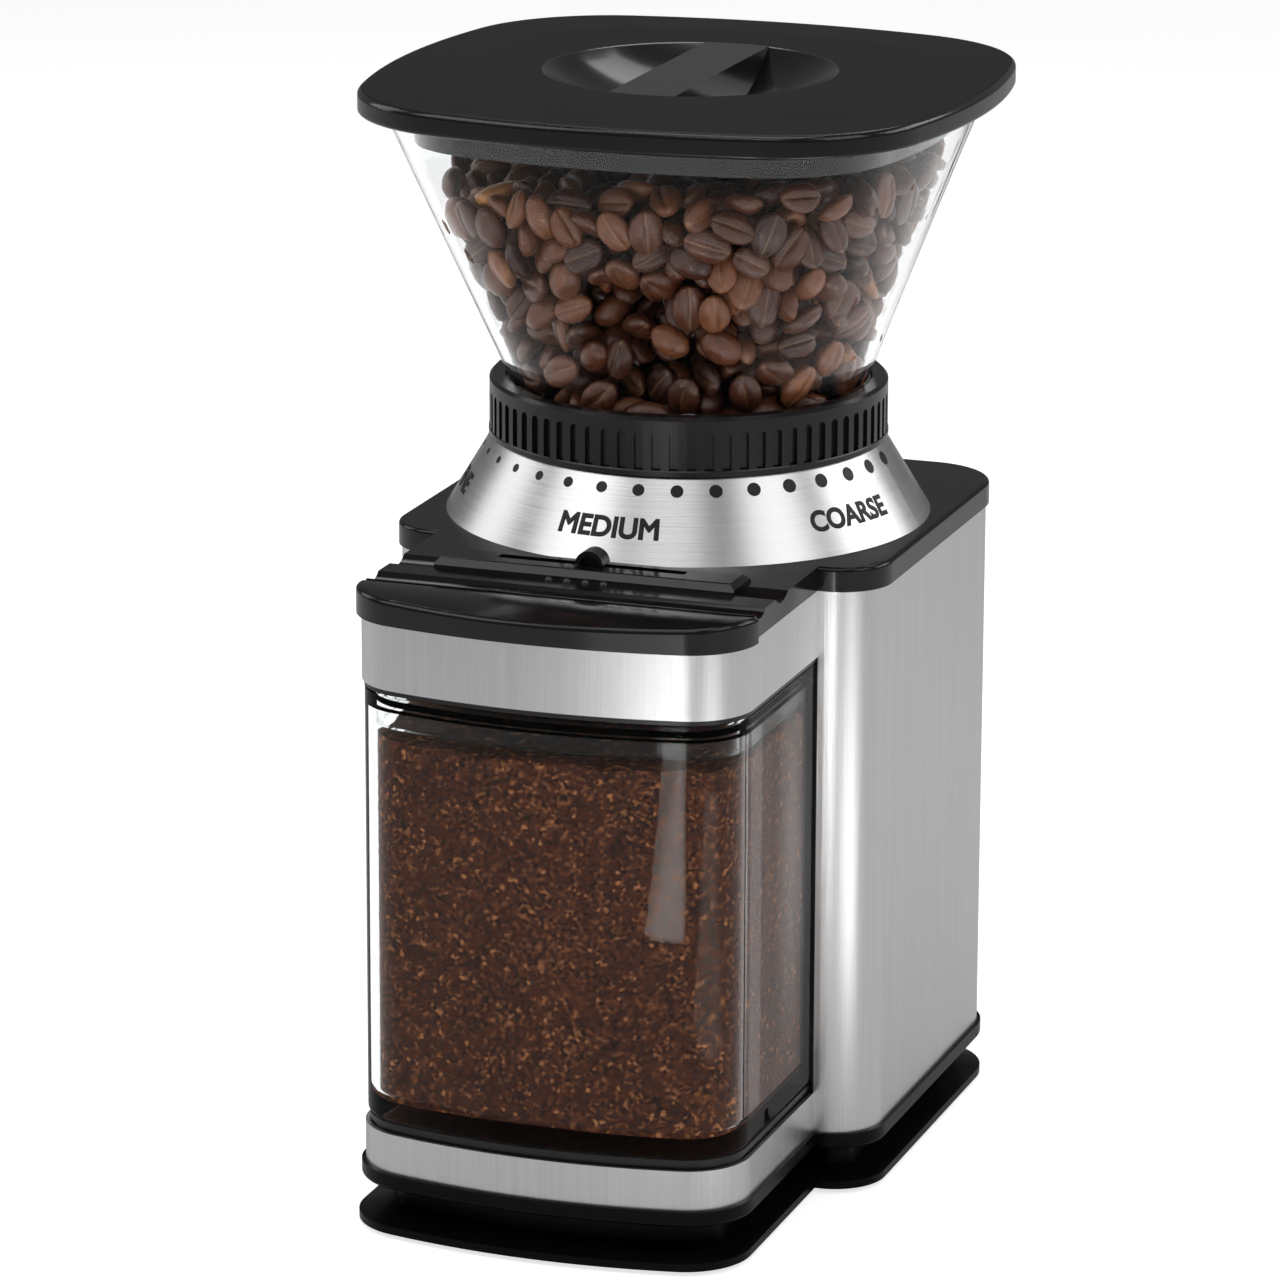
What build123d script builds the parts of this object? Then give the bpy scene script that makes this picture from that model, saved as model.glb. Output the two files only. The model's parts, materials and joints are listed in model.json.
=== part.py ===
from build123d import *
import os
from math import acos, atan2, cos, pi, radians, sin, sqrt, tan

# Burr coffee grinder. Millimetres, +Z up, front towards -Y, origin on the
# bench under the middle of the overall box.

# --- Driving dimensions -------------------------------------------------
AXIS_Y = 20.5  # hopper, grind ring and burrs share this vertical axis

REAR_HALF = 63.5  # steel-wrapped rear block
BACK_Y = 85.5
STEP_Y = -25.0  # where the narrower front block starts
REAR_CORNER = 12.5
BACK_CORNER = 18.0
FRONT_HALF = 49.5  # front block
FRONT_Y = -93.5
FRONT_BOW = 7.4
FRONT_CORNER = 16.0

FOOT_Z = 1.2  # underside of the base plate, above the bench
FLANGE_TOP = 3.2
NECK_BOTTOM = 5.0
NECK_INSET = 7.0
LIP_BOTTOM = 11.7
LIP_OUT = 1.0
STEEL_BOTTOM = 15.7
BAND_LOW_TOP = 25.8
SHELF_TOP = 28.2
JAR_TOP = 133.0
JAR_LID_TOP = 136.8
HEAD_BOTTOM = 137.3
BAND_HIGH_BOTTOM = 138.6
STEEL_TOP = 155.5
COVER_TOP = 161.5
SHEET = 1.0  # steel sheet thickness
WALL = 2.5  # moulded wall thickness
SNAP = 0.01  # tolerance for picking edges by their height

CONE_FOOT_R = 61.0
CONE_HEAD_R = 49.3
CONE_TOP = 181.0
RING_R = 50.0
RING_BOTTOM = 181.3
RING_TOP = 196.0
RING_SLOTS = 72
SETTINGS = 18
SETTING_STEP = 10.7  # degrees from one grind setting to the next
FIRST_SETTING = -90 - SETTING_STEP * (SETTINGS - 1) / 2

HOPPER_BASE_R = 45.6
HOPPER_HALF = 69.8
HOPPER_TOP = 266.0
HOPPER_WALL = 2.4
LID_HALF = 76.0
LID_BOTTOM = 266.2
LID_EDGE_TOP = 272.0
LID_TOP = 273.0
DISH_R = 36.5
DISH_DEPTH = 13.0
GRIP_WIDTH = 17.0

MODULE = 1.0  # gears: stub teeth, 20 degree pressure angle
PINION_TEETH = 14
WHEEL_TEETH = 42
GEAR_BACKLASH = 0.25
SHAFT_R = 4.0
SPINDLE_R = 2.5
RUNNING = 0.05  # radial clearance of shafts in their bushes
MOTOR_Y = AXIS_Y + 34.0
GEAR_CENTRES = MODULE * (PINION_TEETH + WHEEL_TEETH) / 2
IDLER_Y = (AXIS_Y + MOTOR_Y) / 2
IDLER_X = sqrt(GEAR_CENTRES**2 - ((MOTOR_Y - AXIS_Y) / 2) ** 2)
PLATE_Z = 96.0  # gear plate
DECK_Z = 136.0  # bulkhead under the grinding chamber
BULKHEAD = 3.0

CHAMBER_R = 29.0  # inside the grinding chamber
CHAMBER_FLOOR = 142.0
BURR_R = 24.0
LOWER_BURR_TOP = 158.2
UPPER_BURR_BOTTOM = 159.2
COLLAR_R = 38.0  # inside of the fixed adjusting collar
DRIVE_PIN_R = 35.4  # pins that turn the upper burr with the ring

CHUTE_Y = -43.0  # where the grounds drop into the jar
BAR_BACK = -74.2  # rear edge of the start bar
SLIDER_Y = -50.0
BUTTON_Y = -80.0  # switch under the start bar
SLIDER_TRAVEL = 20.0

SCREW_R = 1.5
SCREW_LENGTH = 8.0
PLATE_SCREWS = [(x, y) for x in (-55, 55) for y in (-14, 72)]
DECK_SCREWS = [(x, y) for x in (-56, 56) for y in (-3, 63)]
BASE_SCREWS = [(-51, 60), (51, 60), (-39, -50), (39, -50)]

os.makedirs("parts", exist_ok=True)


def save(builder, name):
    """Label a finished piece and write it as its own STEP file."""
    builder.part.label = name
    export_step(builder.part, f"parts/{name}.step")


# --- Plan outlines ------------------------------------------------------
def rear_plan(inset, back=BACK_Y):
    """Rear block in plan: a rectangle with smaller front and larger back corners."""
    with BuildSketch() as plan:
        depth = back - STEP_Y - 2 * inset
        with Locations((0, (back + STEP_Y) / 2)):
            Rectangle(2 * (REAR_HALF - inset), depth)
        fillet(plan.vertices().group_by(Axis.Y)[0], REAR_CORNER - inset)
        fillet(plan.vertices().group_by(Axis.Y)[-1], BACK_CORNER - inset)
    return plan.sketch


def front_plan(inset, back=STEP_Y + SHEET, front=FRONT_Y):
    """Front block in plan: straight sides, a bowed front and rounded corners."""
    half = FRONT_HALF - inset
    nose = front + inset
    with BuildSketch() as plan:
        with BuildLine():
            Polyline((-half, nose + FRONT_BOW), (-half, back), (half, back), (half, nose + FRONT_BOW))
            ThreePointArc((half, nose + FRONT_BOW), (0, nose), (-half, nose + FRONT_BOW))
        make_face()
        fillet(plan.vertices().group_by(Axis.Y)[0], FRONT_CORNER - inset)
    return plan.sketch


def squircle_plan(half, bow=11.0, corner=40.0):
    """Square with bowed sides and broad round corners, centred on the origin."""
    side_r = ((half - bow) ** 2 + bow**2) / (2 * bow)
    side_centre = half - side_r
    gap = side_r - corner
    middle = (side_centre + sqrt(2 * gap**2 - side_centre**2)) / 2
    tangent = atan2(middle, middle - side_centre)

    def on_side(angle):
        return side_centre + side_r * cos(angle), side_r * sin(angle)

    def on_corner(angle):
        return middle + corner * cos(angle), middle + corner * sin(angle)

    side = [on_side(-tangent), (half, 0), on_side(tangent)]
    bend = [on_side(tangent), on_corner(pi / 4), on_corner(pi / 2 - tangent)]
    with BuildSketch() as plan:
        with BuildLine():
            for quarter in range(4):
                turn = pi / 2 * quarter
                for arc in (side, bend):
                    ThreePointArc(
                        *[(x * cos(turn) - y * sin(turn), x * sin(turn) + y * cos(turn)) for x, y in arc]
                    )
        make_face()
    return plan.sketch


def nearly_round_plan(radius):
    """Squircle within 1 % of a circle, so that it lofts edge to edge with a square one."""
    return squircle_plan(radius, 0.285 * radius, 0.96 * radius)


def screw_holes(spots, top, depth, radius=SCREW_R):
    """Round holes downwards from a level, for screws at the given spots."""
    with BuildSketch(Plane.XY.offset(top)) as holes:
        with Locations(*spots):
            Circle(radius)
    extrude(holes.sketch, amount=-depth, mode=Mode.SUBTRACT)


def axis_plane(z):
    """Horizontal work plane centred on the burr axis."""
    return Plane((0, AXIS_Y, z))


def edges_at(part, z):
    """Edges of a part that lie wholly at a level."""
    return part.edges().filter_by_position(Axis.Z, z - SNAP, z + SNAP)


# --- Base ---------------------------------------------------------------
VENT_Y = MOTOR_Y
BASE_NOSE = -95.5
INSIDE = STEP_Y + 12  # overlaps the front outline with the rear one

with BuildPart() as base_plate:
    with BuildSketch(Plane.XY.offset(FOOT_Z)):
        add(rear_plan(-LIP_OUT))
        add(front_plan(-LIP_OUT, front=BASE_NOSE))
    extrude(amount=FLANGE_TOP - FOOT_Z)
    for outer, inner in (
        (rear_plan(-LIP_OUT), rear_plan(NECK_INSET - 1)),
        (front_plan(-LIP_OUT, INSIDE, BASE_NOSE), front_plan(NECK_INSET - 1, INSIDE)),
    ):
        with BuildSketch(Plane.XY.offset(FLANGE_TOP)):
            add(outer)
        with BuildSketch(Plane.XY.offset(NECK_BOTTOM)):
            add(inner)
        loft(ruled=True)
    with BuildSketch(Plane.XY.offset(FOOT_Z)):
        with Locations((0, VENT_Y)):
            with GridLocations(6.5, 0, 7, 1):
                SlotOverall(34, 3, rotation=90)
    extrude(amount=NECK_BOTTOM, mode=Mode.SUBTRACT)
    screw_holes(BASE_SCREWS, NECK_BOTTOM, NECK_BOTTOM)
    screw_holes(BASE_SCREWS, FLANGE_TOP, FLANGE_TOP, 3)
save(base_plate, "base_plate")

FOOT_SPOTS = ((-50, 70), (50, 70), (-38, -76), (38, -76))
FOOT_R = 7.0
with BuildPart() as rubber_feet:
    with BuildSketch():
        with Locations(*FOOT_SPOTS):
            Circle(FOOT_R)
    extrude(amount=FOOT_Z)
save(rubber_feet, "rubber_feet")

with BuildPart() as cord_spool:
    with BuildSketch(Plane.XY.offset(NECK_BOTTOM)):
        add(rear_plan(NECK_INSET))
        add(front_plan(NECK_INSET, INSIDE))
        with Locations((0, 30)):
            Rectangle(92, 88, mode=Mode.SUBTRACT)
        with Locations((0, -52)):
            Rectangle(70, 52, mode=Mode.SUBTRACT)
    extrude(amount=LIP_BOTTOM - NECK_BOTTOM)
    screw_holes(BASE_SCREWS, FLANGE_TOP + SCREW_LENGTH, SCREW_LENGTH)
save(cord_spool, "cord_spool")

with BuildPart() as base_lip:
    with BuildSketch(Plane.XY.offset(LIP_BOTTOM)):
        add(rear_plan(-LIP_OUT))
        add(front_plan(-LIP_OUT))
    extrude(amount=STEEL_BOTTOM - LIP_BOTTOM)
    fillet(base_lip.faces().sort_by(Axis.Z)[0].outer_wire().edges(), 1.2)
    with BuildSketch(Plane.XY.offset(LIP_BOTTOM)):
        with Locations((0, 30)):
            Rectangle(92, 88)
    extrude(amount=STEEL_BOTTOM - LIP_BOTTOM, mode=Mode.SUBTRACT)
save(base_lip, "base_lip")


# --- Steel and inner body ----------------------------------------------
GLAND_SPOT = (-28.0, 30.0)  # x and z of the cord inlet in the back wall
GLAND_R = 6.0
with BuildPart() as steel_wrap:
    with BuildSketch(Plane.XY.offset(STEEL_BOTTOM)):
        add(rear_plan(0))
        add(rear_plan(SHEET), mode=Mode.SUBTRACT)
        with Locations((0, STEP_Y)):
            Rectangle(2 * FRONT_HALF, 4 * SHEET, mode=Mode.SUBTRACT)
    extrude(amount=STEEL_TOP - STEEL_BOTTOM)
    with BuildSketch(Plane.XZ.offset(-BACK_Y)):
        with Locations(GLAND_SPOT):
            Circle(GLAND_R)
    extrude(amount=3 * SHEET, both=True, mode=Mode.SUBTRACT)
save(steel_wrap, "steel_wrap")

CHASSIS_INSET = SHEET + WALL
BOSS_HEIGHT = 9.0
PLUNGER_SPOT = (30.0, 122.0)  # x and z of the jar interlock
PLUNGER_R = 2.0
with BuildPart() as chassis:
    with BuildSketch(Plane.XY.offset(STEEL_BOTTOM)):
        add(rear_plan(SHEET))
        add(rear_plan(CHASSIS_INSET), mode=Mode.SUBTRACT)
    extrude(amount=STEEL_TOP - STEEL_BOTTOM)
    with BuildSketch(Plane.XY.offset(PLATE_Z - BOSS_HEIGHT)):
        with Locations((0, 30)):
            with GridLocations(2 * (REAR_HALF - CHASSIS_INSET) - 6, 92, 2, 2):
                Rectangle(6.5, 10)
        add(rear_plan(SHEET + 1), mode=Mode.INTERSECT)
    extrude(amount=BOSS_HEIGHT)
    with BuildSketch(Plane.XY.offset(DECK_Z - BOSS_HEIGHT)):
        with Locations((0, 30)):
            with GridLocations(2 * (REAR_HALF - CHASSIS_INSET) - 6, 66, 2, 2):
                Rectangle(6.5, 10)
    extrude(amount=BOSS_HEIGHT)
    with BuildSketch(Plane.XZ.offset(-STEP_Y)):
        with Locations((0, (DECK_Z + BULKHEAD + STEEL_TOP) / 2)):
            Rectangle(30, STEEL_TOP - DECK_Z - BULKHEAD)
        with Locations(PLUNGER_SPOT):
            Circle(PLUNGER_R + 0.1)
    extrude(amount=-6, mode=Mode.SUBTRACT)
    with BuildSketch(Plane.XZ.offset(-BACK_Y)):
        with Locations(GLAND_SPOT):
            Circle(GLAND_R)
    extrude(amount=6, both=True, mode=Mode.SUBTRACT)
    screw_holes(PLATE_SCREWS, PLATE_Z, SCREW_LENGTH - BULKHEAD)
    screw_holes(DECK_SCREWS, DECK_Z, SCREW_LENGTH - BULKHEAD)
save(chassis, "chassis")

GLAND_BORE_R = 3.4
with BuildPart() as cord_gland:
    with BuildSketch(Plane.XZ.offset(-BACK_Y)):
        with Locations(GLAND_SPOT):
            Circle(GLAND_R + 2.5)
    extrude(amount=-2.5)
    with BuildSketch(Plane.XZ.offset(-BACK_Y)):
        with Locations(GLAND_SPOT):
            Circle(GLAND_R)
    extrude(amount=6)
    fillet(cord_gland.edges().group_by(Axis.Y)[-1], 1.0)
    with BuildSketch(Plane.XZ.offset(-BACK_Y)):
        with Locations(GLAND_SPOT):
            Circle(GLAND_BORE_R)
    extrude(amount=10, both=True, mode=Mode.SUBTRACT)
save(cord_gland, "cord_gland")


def band(bottom, top):
    """Steel band round the front block, open towards the rear block."""
    with BuildPart() as strip:
        with BuildSketch(Plane.XY.offset(bottom)):
            add(front_plan(0, back=STEP_Y))
            add(front_plan(SHEET, back=STEP_Y), mode=Mode.SUBTRACT)
        extrude(amount=top - bottom)
    return strip


lower_band = band(STEEL_BOTTOM, BAND_LOW_TOP)
save(lower_band, "lower_band")
upper_band = band(BAND_HIGH_BOTTOM, STEEL_TOP)
save(upper_band, "upper_band")

with BuildPart() as jar_shelf:
    with BuildSketch(Plane.XY.offset(STEEL_BOTTOM)):
        add(front_plan(SHEET, back=STEP_Y))
    extrude(amount=SHELF_TOP - STEEL_BOTTOM)
    with BuildSketch(Plane.XY.offset(BAND_LOW_TOP)):
        add(front_plan(SHEET, back=STEP_Y))
        add(front_plan(SHEET + 0.6, back=STEP_Y), mode=Mode.SUBTRACT)
    extrude(amount=1.0, mode=Mode.SUBTRACT)
    with BuildSketch(Plane.XY.offset(STEEL_BOTTOM)):
        add(front_plan(SHEET + WALL, back=STEP_Y - WALL))
    extrude(amount=SHELF_TOP - STEEL_BOTTOM - WALL, mode=Mode.SUBTRACT)
save(jar_shelf, "jar_shelf")

with BuildPart() as head_tray:
    with BuildSketch(Plane.XY.offset(HEAD_BOTTOM)):
        add(front_plan(0.5, back=STEP_Y))
    extrude(amount=BAND_HIGH_BOTTOM - HEAD_BOTTOM)
    with BuildSketch(Plane.XY.offset(BAND_HIGH_BOTTOM)):
        add(front_plan(SHEET, back=STEP_Y))
    extrude(amount=STEEL_TOP - BAND_HIGH_BOTTOM)
    with BuildSketch(Plane.XY.offset(HEAD_BOTTOM + 2.2)):
        add(front_plan(SHEET + 2, back=STEP_Y - 2))
    extrude(amount=STEEL_TOP, mode=Mode.SUBTRACT)
    with BuildSketch(Plane.XY.offset(HEAD_BOTTOM)):
        with Locations((0, CHUTE_Y)):
            Rectangle(30, 18)
    extrude(amount=3, mode=Mode.SUBTRACT)
    with BuildSketch(Plane.XZ.offset(-STEP_Y)):
        with Locations((0, (DECK_Z + BULKHEAD + STEEL_TOP) / 2 + 0.25)):
            Rectangle(30, STEEL_TOP - DECK_Z - BULKHEAD - 0.5)
    extrude(amount=6, both=True, mode=Mode.SUBTRACT)
    with BuildSketch(Plane.XY.offset(HEAD_BOTTOM + 2.2)):
        with Locations((-32, -76), (32, -76), (-32, -60), (32, -60)):
            Circle(3)
    extrude(amount=145.0 - HEAD_BOTTOM - 2.2)
save(head_tray, "head_tray")


# --- Top cover, slider and start bar ------------------------------------
def scallop(centre_y, width, depth):
    """Shallow round groove across the front of the cover."""
    radius = (width**2 / 4 + depth**2) / (2 * depth)
    with Locations((centre_y, COVER_TOP - depth + radius)):
        Circle(radius)


COVER_OUT = 0.8
with BuildPart() as top_cover:
    with BuildSketch(Plane.XY.offset(STEEL_TOP)):
        add(rear_plan(-COVER_OUT))
    extrude(amount=COVER_TOP - STEEL_TOP)
    fillet(top_cover.faces().sort_by(Axis.Z)[-1].outer_wire().edges(), 1.0)
    with BuildSketch(Plane.XY.offset(STEEL_TOP)):
        add(front_plan(0, back=STEP_Y + 10))
        with Locations((0, BAR_BACK + 0.4 - 25)):
            Rectangle(2 * REAR_HALF, 50, mode=Mode.SUBTRACT)
    extrude(amount=COVER_TOP - STEEL_TOP)
    with BuildSketch(Plane.YZ):
        scallop(-53.5, 9.5, 1.7)
        scallop(-69.5, 7.5, 1.6)
    extrude(amount=REAR_HALF, both=True, mode=Mode.SUBTRACT)
    with BuildSketch(Plane.XY.offset(STEEL_TOP)):
        add(rear_plan(SHEET + WALL))
        add(front_plan(SHEET + 2, back=STEP_Y + 10))
    extrude(amount=COVER_TOP - STEEL_TOP - WALL - 1, mode=Mode.SUBTRACT)
    with BuildSketch(axis_plane(STEEL_TOP)):
        Circle(34.5)
    extrude(amount=10, mode=Mode.SUBTRACT)
    with BuildSketch(Plane.XY.offset(STEEL_TOP)):
        with Locations((0, SLIDER_Y)):
            Rectangle(2 * SLIDER_TRAVEL + 8, 3)
    extrude(amount=10, mode=Mode.SUBTRACT)
save(top_cover, "top_cover")

BEZEL_HALF = 38.5
BEZEL_TOP = 163.7
with BuildPart() as slider_bezel:
    with BuildSketch(Plane.YZ):
        with BuildLine():
            Polyline(
                (-57.5, 159.4), (-57.0, 161.9), (-55.6, BEZEL_TOP), (-46.2, BEZEL_TOP),
                (-43.6, COVER_TOP), (-48, 159.4), close=True,
            )
        make_face()
    extrude(amount=BEZEL_HALF, both=True)
    chamfer(slider_bezel.faces().sort_by(Axis.Z)[-1].edges().filter_by(Axis.Y), 1.4)
    fillet(slider_bezel.faces().sort_by(Axis.Z)[-1].edges().filter_by(Axis.X), 0.6)
    with BuildSketch(Plane.XY.offset(155)):
        with Locations((0, SLIDER_Y)):
            Rectangle(2 * SLIDER_TRAVEL + 8, 3)
    extrude(amount=12, mode=Mode.SUBTRACT)
    add(top_cover.part, mode=Mode.SUBTRACT)
save(slider_bezel, "slider_bezel")

TAB_R = 3.6
TAB_BOTTOM = BEZEL_TOP + 0.25
with BuildPart() as cup_slider:
    with BuildSketch(Plane.XZ.offset(-SLIDER_Y)):
        with Locations((0, TAB_BOTTOM)):
            Circle(TAB_R)
        with Locations((0, TAB_BOTTOM - TAB_R)):
            Rectangle(4 * TAB_R, 2 * TAB_R, mode=Mode.SUBTRACT)
    extrude(amount=2.6, both=True)
    with BuildSketch(Plane.XZ.offset(-SLIDER_Y + 2.6)):
        with Locations((0, TAB_BOTTOM)):
            Circle(TAB_R - 1.2)
    extrude(amount=-1.6, mode=Mode.SUBTRACT)
    with BuildSketch(Plane.XY.offset(158.9)):
        with Locations((0, SLIDER_Y)):
            Rectangle(5, 1.8)
    extrude(amount=TAB_BOTTOM + 1 - 158.9)
save(cup_slider, "cup_slider")

BAR_OUT = 1.2
BAR_SKIRT = 155.1
with BuildPart() as start_bar:
    with BuildSketch(Plane.YZ):
        with BuildLine():
            Polyline((-110, BAR_SKIRT), (BAR_BACK, BAR_SKIRT), (BAR_BACK, 161.4))
            ThreePointArc((BAR_BACK, 161.4), (-85, 161.9), (FRONT_Y - BAR_OUT, 160.4))
            Polyline((FRONT_Y - BAR_OUT, 160.4), (-110, 160.4), (-110, BAR_SKIRT))
        make_face()
    extrude(amount=REAR_HALF, both=True)
    with BuildSketch(Plane.XY.offset(150)):
        add(front_plan(-BAR_OUT))
    extrude(amount=20, mode=Mode.INTERSECT)
    fillet(start_bar.faces().filter_by(GeomType.CYLINDER).sort_by(Axis.Z)[-1].outer_wire().edges(), 1.3)
    with BuildSketch(Plane.XY.offset(150)):
        add(front_plan(-0.35))
    extrude(amount=9.3, mode=Mode.SUBTRACT)
    with BuildSketch(Plane.XY.offset(154.6)):
        with Locations((0, BUTTON_Y)):
            Circle(2.2)
    extrude(amount=159.3 - 154.6)
save(start_bar, "start_bar")

BOARD_TOP = 146.6
with BuildPart() as start_spring:
    with BuildLine() as coil:
        Helix(pitch=2.4, height=11.4, radius=2.8, center=(-28, BUTTON_Y, BOARD_TOP + 0.6))
    with BuildSketch(Plane(coil.line @ 0, z_dir=coil.line % 0)):
        Circle(0.35)
    sweep(path=coil.line, is_frenet=True)
save(start_spring, "start_spring")

with BuildPart() as timer_board:
    with BuildSketch(Plane.XY.offset(145.0)):
        with Locations((0, -69)):
            Rectangle(72, 30)
    extrude(amount=BOARD_TOP - 145.0)
    with BuildSketch(Plane.XY.offset(BOARD_TOP)):
        with Locations((20, -64), (28, -72)):
            Rectangle(6, 5)
        with Locations((-14, -66)):
            Rectangle(10, 7)
    extrude(amount=2.2)
save(timer_board, "timer_board")

with BuildPart() as start_switch:
    with BuildSketch(Plane.XY.offset(BOARD_TOP)):
        with Locations((0, BUTTON_Y)):
            Rectangle(6.2, 6.2)
    extrude(amount=3.4)
    with BuildSketch(Plane.XY.offset(BOARD_TOP)):
        with Locations((0, BUTTON_Y)):
            Circle(1.7)
    extrude(amount=6.0)
save(start_switch, "start_switch")

with BuildPart() as slide_pot:
    with BuildSketch(Plane.XY.offset(155.2)):
        with Locations((0, SLIDER_Y)):
            Rectangle(2 * SLIDER_TRAVEL + 14, 8)
    extrude(amount=2.2)
    with BuildSketch(Plane.XY.offset(156.2)):
        with Locations((0, SLIDER_Y)):
            Rectangle(2 * SLIDER_TRAVEL + 8, 3)
    extrude(amount=4, mode=Mode.SUBTRACT)
save(slide_pot, "slide_pot")


# --- Grounds jar ----------------------------------------------------------
JAR_INSET = 0.6
JAR_WALL = 2.5
JAR_BACK = STEP_Y - 1.0
with BuildPart() as grounds_jar:
    with BuildSketch(Plane.XY.offset(SHELF_TOP + 0.1)):
        add(front_plan(JAR_INSET, back=JAR_BACK))
    extrude(amount=JAR_TOP - SHELF_TOP - 0.1)
    fillet(grounds_jar.faces().sort_by(Axis.Z)[0].outer_wire().edges(), 1.5)
    with BuildSketch(Plane.XY.offset(SHELF_TOP + 5.0)):
        add(front_plan(JAR_INSET + JAR_WALL, back=JAR_BACK - JAR_WALL))
    extrude(amount=JAR_TOP, mode=Mode.SUBTRACT)
    fillet(grounds_jar.faces().filter_by(Axis.Z).group_by(Axis.Z)[1].edges(), 2.0)
save(grounds_jar, "grounds_jar")

with BuildPart() as jar_lid:
    with BuildSketch(Plane.XY.offset(JAR_TOP)):
        add(front_plan(JAR_INSET, back=JAR_BACK))
    extrude(amount=JAR_LID_TOP - JAR_TOP)
    with BuildSketch(Plane.XY.offset(JAR_TOP + 1.8)):
        add(front_plan(JAR_INSET + 4, back=JAR_BACK - 4))
    extrude(amount=5, mode=Mode.SUBTRACT)
    with BuildSketch(Plane.XY.offset(JAR_TOP - 5)):
        add(front_plan(JAR_INSET + JAR_WALL + 0.2, back=JAR_BACK - JAR_WALL - 0.2))
        add(front_plan(JAR_INSET + JAR_WALL + 1.8, back=JAR_BACK - JAR_WALL - 1.8), mode=Mode.SUBTRACT)
    extrude(amount=5)
    with BuildSketch(Plane.XY.offset(JAR_TOP - 5)):
        with Locations((0, CHUTE_Y - 6)):
            SlotOverall(44, 24)
    extrude(amount=12, mode=Mode.SUBTRACT)
save(jar_lid, "jar_lid")


# --- Dial cone, collar and grind ring ------------------------------------
with BuildPart() as dial_cone:
    with BuildSketch(Plane.XZ.offset(-AXIS_Y)):
        with BuildLine():
            Polyline(
                (CONE_FOOT_R, COVER_TOP), (CONE_HEAD_R, CONE_TOP),
                (CONE_HEAD_R - 1.2, CONE_TOP), (CONE_FOOT_R - 1.2, COVER_TOP), close=True,
            )
        make_face()
    revolve(axis=Axis((0, AXIS_Y, 0), (0, 0, 1)))
save(dial_cone, "dial_cone")

CLICK_R = 46.6
with BuildPart() as adjust_collar:
    with BuildSketch(axis_plane(COVER_TOP)):
        Circle(COLLAR_R + 3.5)
        Circle(COLLAR_R, mode=Mode.SUBTRACT)
        with PolarLocations(CLICK_R - 3, 3, start_angle=30):
            Circle(3.6)
        Circle(COLLAR_R, mode=Mode.SUBTRACT)
    extrude(amount=3)
    with BuildSketch(axis_plane(COVER_TOP)):
        Circle(COLLAR_R + 3.5)
        Circle(COLLAR_R, mode=Mode.SUBTRACT)
    extrude(amount=177.5 - COVER_TOP)
    with BuildSketch(Plane((0, AXIS_Y, 171))):
        with Locations((0, CLICK_R - 2)):
            Rectangle(7, 9)
        Circle(COLLAR_R + 3.4, mode=Mode.SUBTRACT)
        with Locations((0, CLICK_R - 0.5)):
            Circle(1.8, mode=Mode.SUBTRACT)
    extrude(amount=3)
save(adjust_collar, "adjust_collar")

SKIRT_Z = 178.0
SLOT_WIDTH = 2.3
SLOT_BOTTOM = RING_BOTTOM + 1.5
SLOT_TOP = RING_TOP - 4.7
with BuildPart() as grind_ring:
    with BuildSketch(Plane.XZ.offset(-AXIS_Y)):
        with BuildLine():
            Polyline(
                (RING_R + 0.2, RING_BOTTOM), (RING_R + 0.2, RING_BOTTOM + 1.2), (RING_R, RING_BOTTOM + 1.5),
                (RING_R, RING_TOP - 0.8), (RING_R - 0.8, RING_TOP), (HOPPER_BASE_R + 0.4, RING_TOP),
                (HOPPER_BASE_R + 0.4, RING_BOTTOM + 2.2), (35, RING_BOTTOM + 2.2), (35, RING_BOTTOM),
                (42.2, RING_BOTTOM), (42.2, SKIRT_Z), (44, SKIRT_Z), (44, RING_BOTTOM), close=True,
            )
        make_face()
    revolve(axis=Axis((0, AXIS_Y, 0), (0, 0, 1)))
    with Locations((0, AXIS_Y, (SLOT_BOTTOM + SLOT_TOP) / 2)):
        with PolarLocations(RING_R, RING_SLOTS):
            Box(2.2, SLOT_WIDTH, SLOT_TOP - SLOT_BOTTOM, mode=Mode.SUBTRACT)
    with Locations((0, AXIS_Y, SLOT_TOP)):
        with PolarLocations(RING_R, RING_SLOTS):
            Cylinder(SLOT_WIDTH / 2, 2.2, rotation=(0, 90, 0), mode=Mode.SUBTRACT)
    with BuildSketch(axis_plane(RING_BOTTOM)):
        with PolarLocations(DRIVE_PIN_R, 2):
            Circle(1.2)
    extrude(amount=-5)
    with BuildSketch(axis_plane(RING_BOTTOM)):
        with PolarLocations(CLICK_R, SETTINGS, FIRST_SETTING, SETTINGS * SETTING_STEP):
            Circle(1.0)
    extrude(amount=0.7, mode=Mode.SUBTRACT)
save(grind_ring, "grind_ring")

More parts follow.
